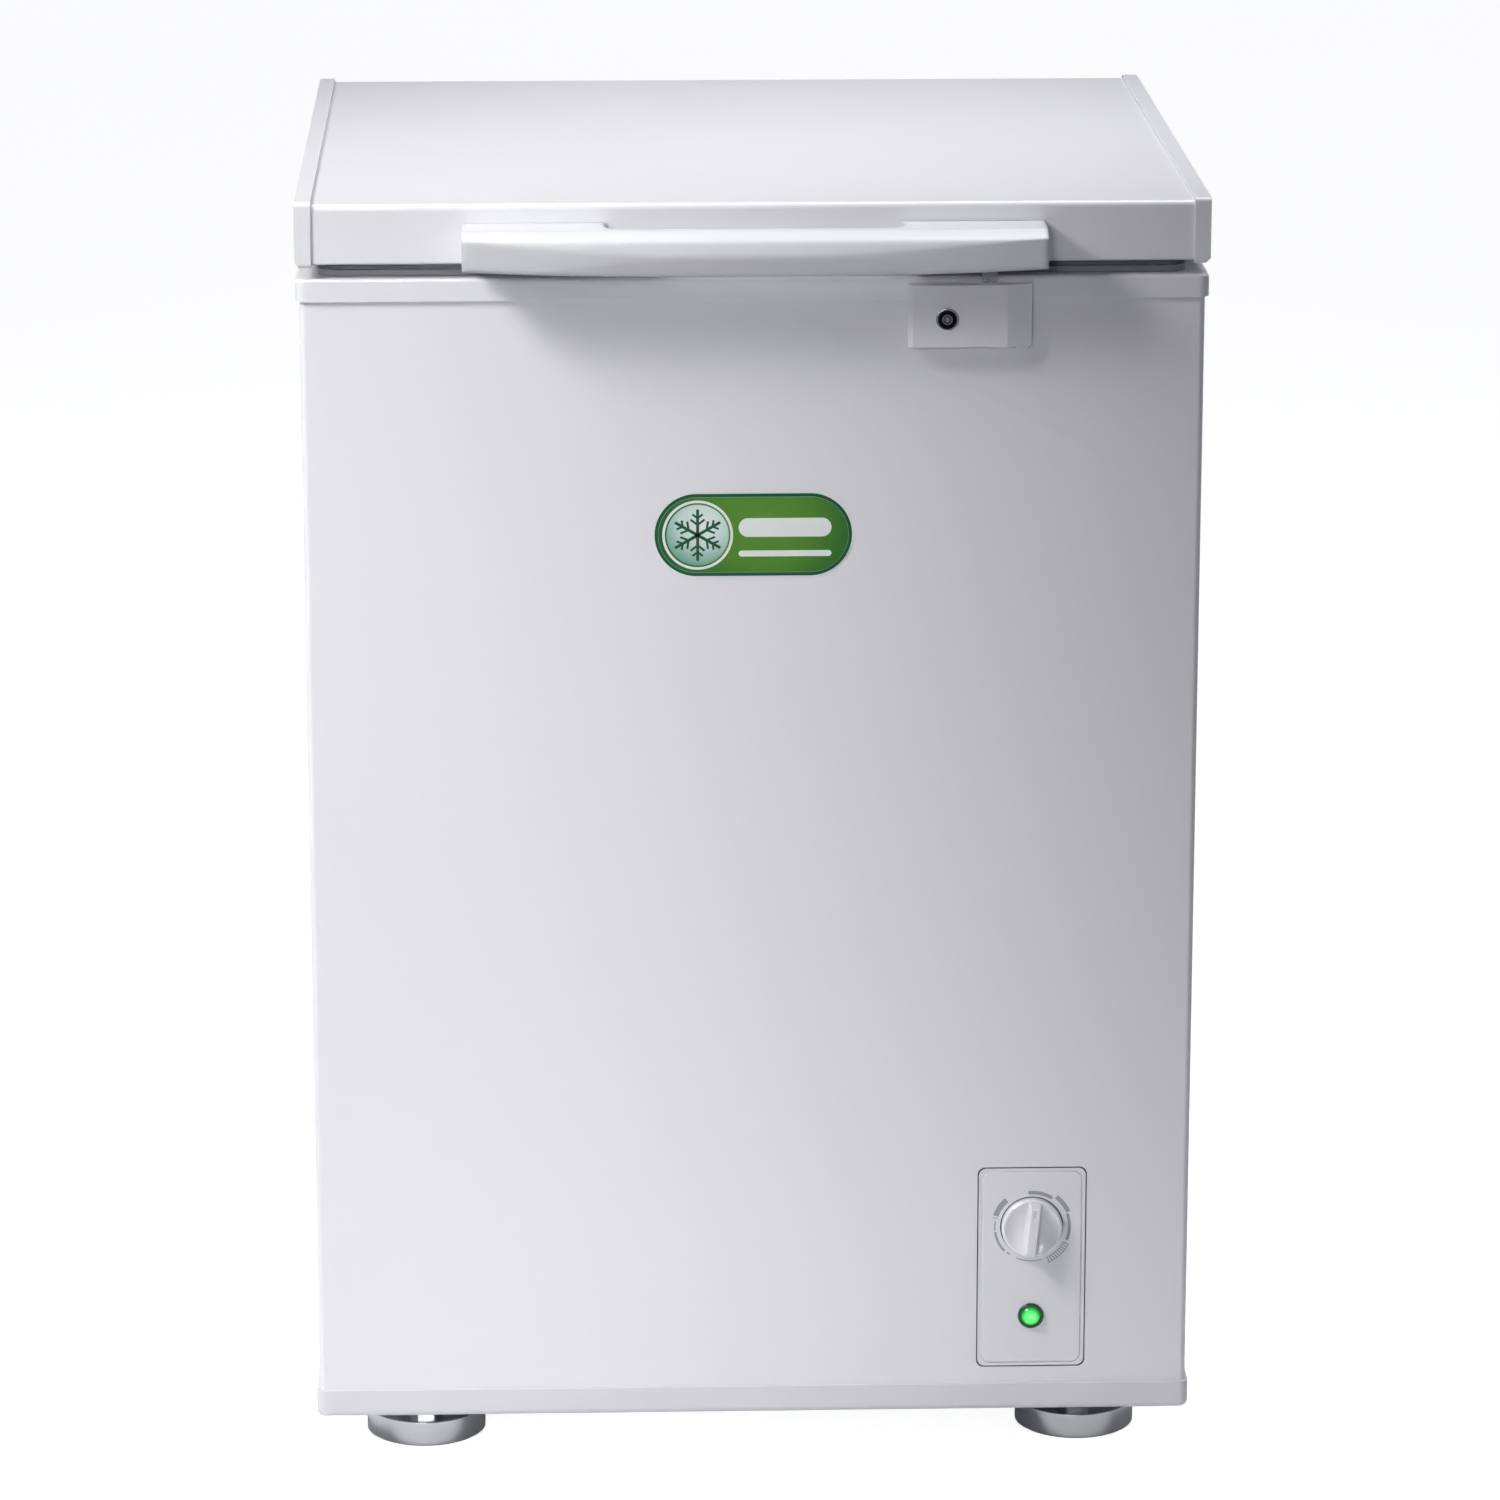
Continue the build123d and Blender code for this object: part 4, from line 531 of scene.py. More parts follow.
def build_materials(colours):
    """Builds the shared effects, then every finish by name."""
    for key, builder in GROUP_BUILDERS.items():
        GROUPS[key] = builder()
    clear = {"Coat Weight": 0.35, "Coat Roughness": 0.12}
    metal = {"Metallic": 1.0}
    dusty = {"Amount": 0.12}
    # painted highlight: pale lines along the edges of the white mouldings and the base trim
    painted_edge_highlight = {"Worn and lit": (0.97, 0.97, 0.98, 1), "Width": 0.0013, "Amount": 0.75}
    moulding_grain = grain_of(420.0, 1.5, 0.00002, 0.18)
    plans = {
        "white_paint": dict(
            colour=colours.paint, roughness=0.36, shader=clear, drift=drift_of(2.5, 0.03, 0.08),
            grain=grain_of(330.0, 1.5, 0.00005, 0.22), dust=dusty,
        ),
        "white_plastic": dict(
            colour=colours.moulding, roughness=0.35,
            shader={"Coat Weight": 0.3, "Coat Roughness": 0.1, "IOR": 1.49},
            drift=drift_of(9.0, 0.03, 0.04), grain=moulding_grain, wear_and_highlight=painted_edge_highlight, dust=dusty,
        ),
        # greyer than the other white mouldings: painted shade of the handle's front
        "handle_plastic": dict(
            colour=colours.handle, roughness=0.35,
            shader={"Coat Weight": 0.4, "Coat Roughness": 0.1, "IOR": 1.49},
            drift=drift_of(9.0, 0.03, 0.04), grain={**moulding_grain, "Soften": 0.006}, dust=dusty,
        ),
        "trim_plastic": dict(
            colour=colours.trim, roughness=0.42, drift=drift_of(8.0, 0.05, 0.1),
            grain=moulding_grain, wear_and_highlight=painted_edge_highlight, dust={"Amount": 0.3},
        ),
        "lid_liner_plastic": dict(
            colour=(0.80, 0.80, 0.79), roughness=0.36, drift=drift_of(6.0, 0.03, 0.04),
            grain=grain_of(500.0, 2.0, 0.00003, 0.3),
        ),
        "galvanised": dict(
            colour=(0.58, 0.60, 0.62), roughness=0.4, shader={"Metallic": 0.5},
            drift=drift_of(5.0, 0.08, 0.1), spangle={"Scale": 120.0, "Contrast": 0.13},
            dust={"Amount": 0.25},
        ),
        "cover_zinc": dict(
            colour=(0.66, 0.68, 0.70), roughness=0.36, shader={"Metallic": 0.5},
            drift=drift_of(8.0, 0.06, 0.05), spangle={"Scale": 150.0, "Contrast": 0.1},
            # paler edges of the cover: scuffing and painted highlight
            wear_and_highlight={"Worn and lit": (0.9, 0.92, 0.94, 1), "Width": 0.001, "Amount": 0.8},
        ),
        "liner_aluminium": dict(
            colour=(0.86, 0.87, 0.88), roughness=0.34, shader=metal, drift=drift_of(5.0, 0.04, 0.1),
            stucco={"Scale": 210.0, "Height": 0.00025},
        ),
        "foam": dict(
            colour=(0.82, 0.70, 0.42), roughness=0.85, drift=drift_of(20.0, 0.25, 0.05),
            grain=grain_of(500.0, 6.0, 0.0005, 0.8),
        ),
        "gasket_rubber": dict(
            colour=(0.30, 0.31, 0.33), roughness=0.6, drift=drift_of(15.0, 0.08, 0.1),
            grain=grain_of(1200.0, 3.0, 0.00002, 0.5), dust={"Amount": 0.2},
        ),
        "rubber": dict(
            colour=(0.022, 0.022, 0.024), roughness=0.75, drift=drift_of(40.0, 0.3, 0.15),
            grain=grain_of(900.0, 4.0, 0.00005, 0.6), dust={"Amount": 0.3},
        ),
        "chrome": dict(
            colour=(0.74, 0.75, 0.77), roughness=0.22, shader=metal,
            drift=drift_of(30.0, 0.06, 0.05), brush=brush_of(40.0, 26.0, 0.00001, 0.16),
        ),
        "foot_chrome": dict(
            colour=(0.64, 0.65, 0.67), roughness=0.24, shader=metal,
            drift=drift_of(30.0, 0.1, 0.05), brush=brush_of(30.0, 26.0, 0.00001, 0.16),
            # near-black above 17.8 mm: painted shade of the hub inside the foot cup
            height={"Height": 0.0178},
        ),
        "steel": dict(
            colour=(0.62, 0.62, 0.63), roughness=0.3, shader=metal,
            drift=drift_of(90.0, 0.12, 0.12), brush=brush_of(8.0, 120.0, 0.000006, 0.2),
        ),
        "vent_plastic": dict(
            colour=(0.66, 0.67, 0.69), roughness=0.45, drift=drift_of(12.0, 0.05, 0.08),
            grain=moulding_grain, dust={"Amount": 0.3},
        ),
        "black_paint": dict(
            colour=(0.012, 0.012, 0.013), roughness=0.28, drift=drift_of(14.0, 0.3, 0.12),
            grain=grain_of(300.0, 2.0, 0.00006, 0.4), dust={"Amount": 0.35},
        ),
        "coil_steel": dict(
            colour=(0.42, 0.27, 0.20), roughness=0.35, shader=metal,
            drift=drift_of(25.0, 0.25, 0.15),
        ),
        "coil_aluminium": dict(
            colour=(0.78, 0.79, 0.80), roughness=0.3, shader=metal, drift=drift_of(25.0, 0.1, 0.15)
        ),
        "copper": dict(
            colour=(0.80, 0.36, 0.20), roughness=0.27, shader=metal, drift=drift_of(30.0, 0.3, 0.2)
        ),
        "dark_plastic": dict(
            colour=(0.03, 0.03, 0.033), roughness=0.4, drift=drift_of(20.0, 0.2, 0.1),
            grain=moulding_grain,
        ),
        "basket_wire": dict(
            colour=(0.78, 0.79, 0.80), roughness=0.25, shader=clear,
            drift=drift_of(12.0, 0.06, 0.1), grain=grain_of(400.0, 1.0, 0.00004, 0.3),
        ),
        # near-black film, used as painted shade in seams
        "gap": dict(
            colour=(0.045, 0.05, 0.06), roughness=0.7, drift=drift_of(120.0, 0.4, 0.1)
        ),
        # near-black steel: painted shade, for the foot nuts that sit in the dark recess under the base
        "painted_shade_steel": dict(
            colour=(0.07, 0.07, 0.075), roughness=0.55, shader={"Metallic": 0.7},
            drift=drift_of(90.0, 0.3, 0.15),
        ),
        "lamp_bezel": dict(
            colour=(0.006, 0.075, 0.018), roughness=0.25, shader=clear,
            drift=drift_of(120.0, 0.3, 0.1),
        ),
        "label_border": dict(
            colour=colours.border, roughness=0.3, shader=clear, drift=drift_of(60.0, 0.25, 0.05)
        ),
        "label_line": dict(
            colour=(0.16, 0.36, 0.22), roughness=0.3, shader=clear, drift=drift_of(60.0, 0.2, 0.05)
        ),
        "label_print": dict(
            colour=colours.print, roughness=0.35, drift=drift_of(80.0, 0.08, 0.05)
        ),
        "scale_print": dict(
            colour=colours.scale, roughness=0.5, drift=drift_of(90.0, 0.2, 0.05)
        ),
        "floor": dict(
            colour=(0.80, 0.80, 0.81), roughness=0.7, drift=drift_of(0.6, 0.02, 0.05)
        ),
    }
    for name, plan in plans.items():
        MATERIALS[name] = finish_material(name, **plan)
    lamp, field = tuple(colours.lamp), tuple(colours.field)
    label = (LABEL_LOW + LABEL_HIGH) / 2
    disc = label - Vector(((LABEL_HIGH.x - LABEL_LOW.x - LABEL_HEIGHT) / 2, 0.0, 0.0))
    MATERIALS["label_field"] = radial_material(
        "label_field",
        label + Vector((0.006, 0.0, 0.010)),
        0.070,
        [
            (0.0, (field[0] * 1.25, field[1] * 1.15, field[2] * 1.3)),
            (0.45, field),
            (0.8, (field[0] * 0.35, field[1] * 0.62, field[2] * 0.9)),
            (1.0, (0.006, 0.10, 0.025)),
        ],
        clear,
        0.3,
    )
    MATERIALS["label_disc"] = radial_material(
        "label_disc",
        disc + Vector((0.004, 0.0, 0.008)),
        0.030,
        [
            (0.0, (0.84, 0.90, 0.88)),
            (0.5, (0.60, 0.76, 0.70)),
            (0.9, (0.20, 0.42, 0.33)),
            (1.0, (0.10, 0.30, 0.20)),
        ],
        clear,
        0.3,
    )
    MATERIALS["lamp_lens"] = radial_material(
        "lamp_lens",
        LAMP_AXIS,
        0.0070,
        [
            (0.0, lamp),
            (0.5, (0.07, 0.80, 0.13)),
            (0.85, (0.0, 0.26, 0.03)),
            (1.0, (0.0, 0.10, 0.01)),
        ],
        {"Emission Strength": 0.75, "Coat Weight": 1.0, "Coat Roughness": 0.05},
        0.2,
        emission=True,
    )
    # dark band round the key plug: painted shade, for the deep groove in the lock's face
    MATERIALS["lock_core"] = radial_material(
        "lock_core",
        LOCK_AXIS,
        0.0060,
        [
            (0.0, (0.6, 0.6, 0.62)),
            (0.30, (0.5, 0.5, 0.52)),
            (0.36, (0.01, 0.01, 0.01)),
            (0.92, (0.02, 0.02, 0.022)),
        ],
        {"Metallic": 0.9},
        0.25,
    )


# ---- mesh helpers

SMOOTH_ANGLE = 35  # degrees up to which a bend is shaded as smooth


def put_in_order(elements):
    """Sorts a mesh's elements by place, because an extrusion leaves them in no fixed order."""

    def spot(item):
        corners = [item] if isinstance(item, BMVert) else item.verts
        total = sum((vert.co for vert in corners), Vector())
        return tuple(round(value / len(corners), 8) for value in total)

    for index, item in enumerate(sorted(elements, key=spot)):
        item.index = index
    elements.sort()


def make_piece(name, bm, body, material):
    """Turns a bmesh into a finished piece that rides on a CAD body."""
    bmesh.ops.remove_doubles(bm, verts=bm.verts, dist=1e-6)
    bmesh.ops.recalc_face_normals(bm, faces=bm.faces)
    for elements in (bm.verts, bm.edges, bm.faces):
        put_in_order(elements)
    mesh = bpy.data.meshes.new(name)
    bm.to_mesh(mesh)
    bm.free()
    mesh.shade_smooth()
    mesh.set_sharp_from_angle(angle=math.radians(SMOOTH_ANGLE))
    piece = bpy.data.objects.new(name, mesh)
    bpy.context.scene.collection.objects.link(piece)
    mesh.materials.append(MATERIALS[material])
    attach(piece, body)
    return piece


def only(kind, made):
    """Elements of one kind out of what an operator made."""
    return [item for item in made["geom"] if isinstance(item, kind)]


def unique(items):
    """Items without repeats, in the order they came in."""
    return list(dict.fromkeys(items))


def faces_of(verts):
    """Faces that touch those vertices."""
    return unique(face for vert in verts for face in vert.link_faces)


def edges_of(verts):
    """Edges that touch those vertices."""
    return unique(edge for vert in verts for edge in vert.link_edges)


def linked_verts(seed):
    """Every vertex joined to that one."""
    found, seen = [seed], {seed}
    for vert in found:
        for edge in vert.link_edges:
            other = edge.other_vert(vert)
            if other not in seen:
                seen.add(other)
                found.append(other)
    return found


def raise_face(bm, faces, height):
    """Gives flat faces a thickness along local Z."""
    made = bmesh.ops.extrude_face_region(bm, geom=faces)
    bmesh.ops.translate(bm, verts=only(BMVert, made), vec=(0, 0, height))


def add_circle(bm, radius, segments):
    """Adds a filled circle; returns its vertices."""
    return bmesh.ops.create_circle(bm, cap_ends=True, segments=segments, radius=radius)["verts"]


def add_pill(bm, centre, width, height, thickness, segments):
    """Adds a flat plate with half-round ends."""
    made = add_circle(bm, height / 2, segments)
    for vert in made:
        vert.co.x += math.copysign((width - height) / 2, vert.co.x)
    bmesh.ops.translate(bm, verts=made, vec=centre)
    raise_face(bm, faces_of(made), thickness)


def add_ring_band(bm, inner, outer, start, end, low, thickness, steps):
    """Adds a flat band along an arc; its angles run clockwise from straight up."""
    before = set(bm.faces)
    first = Matrix.Rotation(-math.radians(start), 3, "Z")
    verts = [bm.verts.new(first @ Vector((0, radius, low))) for radius in (inner, outer)]
    edge = bm.edges.new(verts)
    bmesh.ops.spin(
        bm,
        geom=[*verts, edge],
        cent=(0, 0, 0),
        axis=(0, 0, 1),
        angle=-math.radians(end - start),
        steps=steps,
        use_merge=end - start == 360,
    )
    raise_face(bm, [face for face in bm.faces if face not in before], thickness)


def add_disc(bm, radius, low, thickness, segments=64):
    """Adds a flat disc."""
    made = add_circle(bm, radius, segments)
    bmesh.ops.translate(bm, verts=made, vec=(0, 0, low))
    raise_face(bm, faces_of(made), thickness)


def add_frame(bm, width, height, radius, line, thickness, corner_steps=8):
    """Adds a flat outline with rounded corners."""
    before = set(bm.faces)
    half_x, half_y = width / 2 - radius, height / 2 - radius
    segments = 4 * corner_steps + 4
    outer = bmesh.ops.create_circle(bm, segments=segments, radius=radius)["verts"]
    turned = Matrix.Rotation(math.radians(180 / segments), 4, "Z")
    bmesh.ops.transform(bm, verts=outer, matrix=turned)
    for vert in outer:
        vert.co.x += math.copysign(half_x, vert.co.x)
        vert.co.y += math.copysign(half_y, vert.co.y)
    inner = only(BMVert, bmesh.ops.extrude_edge_only(bm, edges=edges_of(outer)))
    shrink = ((width - 2 * line) / width, (height - 2 * line) / height, 1)
    bmesh.ops.scale(bm, verts=inner, vec=shrink)
    raise_face(bm, [face for face in bm.faces if face not in before], thickness)


def add_bar(bm, length, width, thickness, matrix):
    """Adds a bar that starts at the matrix's origin and runs along its local Y."""
    made = bmesh.ops.create_cube(bm, size=1.0)["verts"]
    bmesh.ops.scale(bm, verts=made, vec=(width, length, thickness))
    bmesh.ops.translate(bm, verts=made, vec=(0, length / 2, thickness / 2))
    bmesh.ops.transform(bm, verts=made, matrix=matrix)


def settle(bm, plane, spot):
    """Turns flat work to its plane and moves it to its spot."""
    bmesh.ops.transform(bm, verts=bm.verts, matrix=Matrix.Translation(spot) @ plane)


# ---- operators


class FREEZER_OT_finishes(bpy.types.Operator):
    """Give every carried-over node its finish"""

    bl_idname = "freezer.finishes"
    bl_label = "Finishes"

    def execute(self, context):
        build_materials(context.scene.freezer_colours)
        special = {
            "base_trim": "trim_plastic",
            "front_label": "label_border",
            "lock_cylinder": "lock_core",
            "lid_handle": "handle_plastic",
            "rear_cover": "cover_zinc",
            "pilot_lamp_bezel": "lamp_bezel",
            "foot_nuts": "painted_shade_steel",
            "front_foot_cup_left": "foot_chrome",
            "front_foot_cup_right": "foot_chrome",
            "rear_foot_cups": "foot_chrome",
        }
        for part in SUBPARTS:
            name = part["node"]
            material = MATERIALS[special.get(name, part["material_slot"])]
            mesh = frame["nodes"][name].data
            mesh.materials.clear()
            mesh.materials.append(material)
        return {"FINISHED"}


# label art, in metres unless it is a share or an angle
OUTLINE_WIDTH = 0.0007
HAIRLINE_WIDTH = 0.0004
DISC_INSET = 0.0006
RING_MARGIN, RING_WIDTH = 0.0022, 0.0017
DISC_MARGIN = 0.0028
FLAKE_SHARE = 0.74  # snowflake's reach as a share of the ring's radius
SPOKE_WIDTH, TWIG_WIDTH = 0.0019, 0.0014
TWIGS = ((0.40, 0.34), (0.66, 0.25))  # place along the spoke and length, as shares of it
TWIG_ANGLE = 52
STRIPE_LENGTH, STRIPE_OVERLAP = 0.0600, 0.0008
STRIPES = ((0.0048, 0.0125), (-0.0124, 0.0040))  # level and height of each


class FREEZER_OT_label(bpy.types.Operator):
    """Print the pill-shaped front label: field, disc, snowflake and stripes"""

    bl_idname = "freezer.label"
    bl_label = "Front label"

    def execute(self, context):
        sizes = context.scene.freezer_sizes
        film, border = sizes.print_film, sizes.label_border
        width, height = LABEL_HIGH.x - LABEL_LOW.x, LABEL_HEIGHT
        centre = (LABEL_LOW + LABEL_HIGH) / 2
        centre.y = LABEL_LOW.y
        layers = (
            ("label_outline", "label_print", 0.0),
            ("label_rim", "label_border", OUTLINE_WIDTH),
            ("label_hairline", "label_line", border),
            ("label_field", "label_field", border + HAIRLINE_WIDTH),
        )
        for index, (name, material, margin) in enumerate(layers):
            plate = bmesh.new()
            size = (width - 2 * margin, height - 2 * margin)
            add_pill(plate, (0, 0, index * film), *size, film, 96)
            settle(plate, FRONT_PLANE, centre)
            make_piece(name, plate, "cabinet", material)
        disc_spot = (-(width - height) / 2 + DISC_INSET, 0, 0)
        outer = height / 2 - border - RING_MARGIN
        ring, disc, flake = bmesh.new(), bmesh.new(), bmesh.new()
        art_low = len(layers) * film
        add_ring_band(ring, outer - RING_WIDTH, outer, 0, 360, art_low, film, 72)
        add_disc(disc, outer - DISC_MARGIN, art_low, film)
        arm = outer * FLAKE_SHARE
        for turn in range(6):
            spoke = Matrix.Rotation(math.radians(60 * turn), 4, "Z")
            add_bar(flake, arm, SPOKE_WIDTH, film, spoke)
            for share, size in TWIGS:
                root = spoke @ Matrix.Translation((0, arm * share, 0))
                for side in (-TWIG_ANGLE, TWIG_ANGLE):
                    twig = root @ Matrix.Rotation(math.radians(side), 4, "Z")
                    add_bar(flake, arm * size, TWIG_WIDTH, film * 0.9, twig)
        bmesh.ops.translate(flake, verts=flake.verts, vec=(0, 0, art_low + film))
        for bm, name, material in (
            (ring, "ring", "label_print"),
            (disc, "disc", "label_disc"),
            (flake, "snowflake", "label_border"),
        ):
            bmesh.ops.translate(bm, verts=bm.verts, vec=disc_spot)
            settle(bm, FRONT_PLANE, centre)
            make_piece(f"label_{name}", bm, "cabinet", material)
        stripes = bmesh.new()
        middle_x = -width / 2 + height - STRIPE_OVERLAP + STRIPE_LENGTH / 2
        for level, tall in STRIPES:
            add_pill(stripes, (middle_x, level, art_low), STRIPE_LENGTH, tall, film, 48)
        settle(stripes, FRONT_PLANE, centre)
        make_piece("label_stripes", stripes, "cabinet", "label_print")
        return {"FINISHED"}


# start and end in degrees clockwise of straight up, then how far beyond the scale radius the
# band starts and ends, in mm
SCALE_BANDS = (
    (-6, 34, 0.2, 2.6),
    (38, 67, 2.2, 5.2),
    (69, 112, 1.6, 3.6),
    (163, 205, 1.2, 1.8),
    (216, 223, 1.0, 2.0),
    (227, 262, 1.2, 2.8),
    (264, 280, 1.6, 2.4),
    (284, 285, 0.8, 4.6),
    (288, 318, 0.8, 4.6),
)
# segment with an outline, filled with ticks; outline in mm, ticks in degrees
OUTLINED_BAND = (117, 157, 1.0, 5.4)
OUTLINE_MM = 0.45
TICK_STEP, TICK_WIDTH = 4, 1.6


class FREEZER_OT_dial_scale(bpy.types.Operator):
    """Print the wedge-shaped scale round the thermostat dial"""

    bl_idname = "freezer.dial_scale"
    bl_label = "Dial scale"

    def execute(self, context):
        sizes = context.scene.freezer_sizes
        film, radius = sizes.print_film, sizes.scale_radius
        spot = Vector((DIAL_AXIS.x, PANEL_FACE, DIAL_AXIS.z))
        bands = bmesh.new()

        def band(start, end, near, far, thickness, steps):
            inner, outer = radius + near / 1000, radius + far / 1000
            add_ring_band(bands, inner, outer, start, end, 0, thickness, steps)

        for start, end, near, far in SCALE_BANDS:
            band(start, end, near, far, film, max(2, (end - start) // 3))
        start, end, near, far = OUTLINED_BAND
        for low, high in ((near, near + OUTLINE_MM), (far - OUTLINE_MM, far)):
            band(start, end, low, high, film, 14)
        for tick in range(start, end, TICK_STEP):
            band(tick, tick + TICK_WIDTH, near, far, film * 0.8, 2)
        settle(bands, FRONT_PLANE, spot)
        make_piece("dial_scale", bands, "cabinet", "scale_print")
        return {"FINISHED"}


SEAM_REACH, SEAM_WIDTH = 0.0012, 0.0008  # beyond the plate's size, and the line's own width
SEAM_CORNER, SEAM_THICKNESS = 0.0052, 0.00008
INLAY = 0.0001  # thickness of the thin inlays of the dial's well and the lock
WELL_GAP = 0.0008  # from the dial to the well's wall
KEY_RING = (0.0026, 0.0033)  # inner and outer radius
KEY_SLOT = (0.0034, 0.0011)  # length and width


class FREEZER_OT_panel_lines(bpy.types.Operator):
    """Lay dark films as painted shade in the seam round the control plate and round the dial, and draw the key
    slot of the lock
    """

    bl_idname = "freezer.panel_lines"
    bl_label = "Panel lines"

    def execute(self, context):
        sizes = context.scene.freezer_sizes
        low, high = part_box("control_panel")
        width, height = high.x - low.x, high.z - low.z
        # a dark film on the sheet round the plate: painted shade of the seam
        seam = bmesh.new()
        add_frame(
            seam, width + SEAM_REACH, height + SEAM_REACH, SEAM_CORNER, SEAM_WIDTH, SEAM_THICKNESS
        )
        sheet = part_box("outer_wrapper")[0].y
        settle(seam, FRONT_PLANE, Vector(((low.x + high.x) / 2, sheet, (low.z + high.z) / 2)))
        make_piece("control_plate_gap", seam, "cabinet", "gap")
        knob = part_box("thermostat_knob")
        radius = (knob[1].x - knob[0].x) / 2
        # a dark ring on the well's floor round the dial: painted shade
        well = bmesh.new()
        add_ring_band(well, radius + INLAY, radius + WELL_GAP, 0, 360, 0, INLAY, 72)
        floor = PANEL_FACE + sizes.well_depth - INLAY
        settle(well, FRONT_PLANE, Vector((DIAL_AXIS.x, floor, DIAL_AXIS.z)))
        make_piece("dial_gap", well, "cabinet", "gap")
        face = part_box("lock_cylinder")[0].y
        slot = bmesh.new()
        add_ring_band(slot, *KEY_RING, 0, 360, 0, INLAY, 40)
        add_pill(slot, (0, 0, 0), *KEY_SLOT, INLAY, 24)
        upright = Matrix.Rotation(math.pi / 2, 3, "Z")
        bmesh.ops.rotate(slot, verts=slot.verts, cent=(0, 0, 0), matrix=upright)
        settle(slot, FRONT_PLANE, Vector((LOCK_AXIS.x, face, LOCK_AXIS.z)))
        make_piece("lock_keyway", slot, "lock_core", "chrome")
        return {"FINISHED"}


# screw head, as shares of its radius; each step down its side widens it and drops by a share
# of its height
HEAD_TOP = 0.72
CROSS_HALF_WIDTH, CROSS_ARM = 0.13, 0.52
HEAD_STEPS = ((1.25, 0.12), (1.1, 0.28), (1.01, 0.6))
SIDE_HEAD_SEAT = 0.0014  # how deep a sideways head's seat lies inside the plain screw's end


def add_screw_head(bm, radius, height, recess, matrix):
    """Adds a pan head with a cross recess, its seat on the matrix's XY plane."""
    disc = add_circle(bm, radius * HEAD_TOP, 24)
    bmesh.ops.translate(bm, verts=disc, vec=(0, 0, height))
    faces = faces_of(disc)
    slot_half, arm = radius * CROSS_HALF_WIDTH, radius * CROSS_ARM
    for normal in ((1, 0, 0), (0, 1, 0)):
        for distance in (-arm, -slot_half, slot_half, arm):
            edges = unique(edge for face in faces for edge in face.edges)
            verts = unique(vert for face in faces for vert in face.verts)
            cut = bmesh.ops.bisect_plane(
                bm,
                geom=[*faces, *edges, *verts],
                dist=1e-7,
                plane_co=Vector(normal) * distance,
                plane_no=normal,
            )
            faces = only(BMFace, cut)
    cross = []
    for face in faces:
        spot = face.calc_center_median()
        across, along = sorted((abs(spot.x), abs(spot.y)))
        if across < slot_half and along < arm:
            cross.append(face)
    sunk = bmesh.ops.extrude_face_region(bm, geom=cross)
    bmesh.ops.delete(bm, geom=cross, context="FACES")
    low = only(BMVert, sunk)
    bmesh.ops.translate(bm, verts=low, vec=(0, 0, -height * recess))
    edges = [edge for edge in edges_of(linked_verts(low[0])) if edge.is_boundary]
    for scale, drop in HEAD_STEPS:
        made = bmesh.ops.extrude_edge_only(bm, edges=edges)
        verts = only(BMVert, made)
        edges = [edge for edge in only(BMEdge, made) if edge.is_boundary]
        bmesh.ops.scale(bm, verts=verts, vec=(scale, scale, 1))
        bmesh.ops.translate(bm, verts=verts, vec=(0, 0, -drop * height))
    bmesh.ops.transform(bm, verts=linked_verts(low[0]), matrix=matrix)


def screw_places(node):
    """Low and high corner of each separate screw of a CAD node."""
    bm = bmesh.new()
    bm.from_mesh(frame["nodes"][node].data)
    bmesh.ops.remove_doubles(bm, verts=bm.verts, dist=1e-6)
    seen, found = set(), []
    for vert in bm.verts:
        if vert not in seen:
            island = linked_verts(vert)
            seen.update(island)
            points = [v.co for v in island]
            low = Vector(min(p[i] for p in points) for i in range(3))
            high = Vector(max(p[i] for p in points) for i in range(3))
            found.append((low, high))
    bm.free()
    return found


class FREEZER_OT_screws(bpy.types.Operator):
    """Model the cross-recessed heads of every screw in view"""

    bl_idname = "freezer.screws"
    bl_label = "Screw heads"

    def execute(self, context):
        recess = context.scene.freezer_sizes.screw_recess
        heads = {
            "hinge_cabinet_screws": ("hinge_cabinet_screw_heads", "cabinet", 0.0025),
            "hinge_lid_screws": ("hinge_lid_screw_heads", "lid", 0.0025),
            "cover_screws": ("cover_screw_heads", "cabinet", 0.0016),
        }
        for node, (name, body, height) in heads.items():
            bm = bmesh.new()
            for index, (low, high) in enumerate(screw_places(node)):
                centre, size = (low + high) / 2, high - low
                turn = Matrix.Rotation(math.radians(17 + 31 * index), 4, "Z")
                if size.y > size.x:
                    radius, plane = size.x / 2, BACK_PLANE
                    seat = Vector((centre.x, high.y - height, centre.z))
                else:
                    radius, plane = size.y / 2, RIGHT_PLANE
                    seat = Vector((high.x - SIDE_HEAD_SEAT, centre.y, centre.z))
                matrix = Matrix.Translation(seat) @ plane @ turn
                add_screw_head(bm, radius, height, recess, matrix)
            piece = make_piece(name, bm, body, "steel")
            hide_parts(node)
        return {"FINISHED"}


BLADE_SHORTER = 0.024  # how much shorter a blade is than the vent
BLADE_THICKNESS, BLADE_BEVEL = 0.0009, 0.0003
BLADE_PITCH, BLADE_RAISE = 0.011, 0.0035
BLADE_BEHIND = 0.0038  # how far behind the vent a blade's middle lies


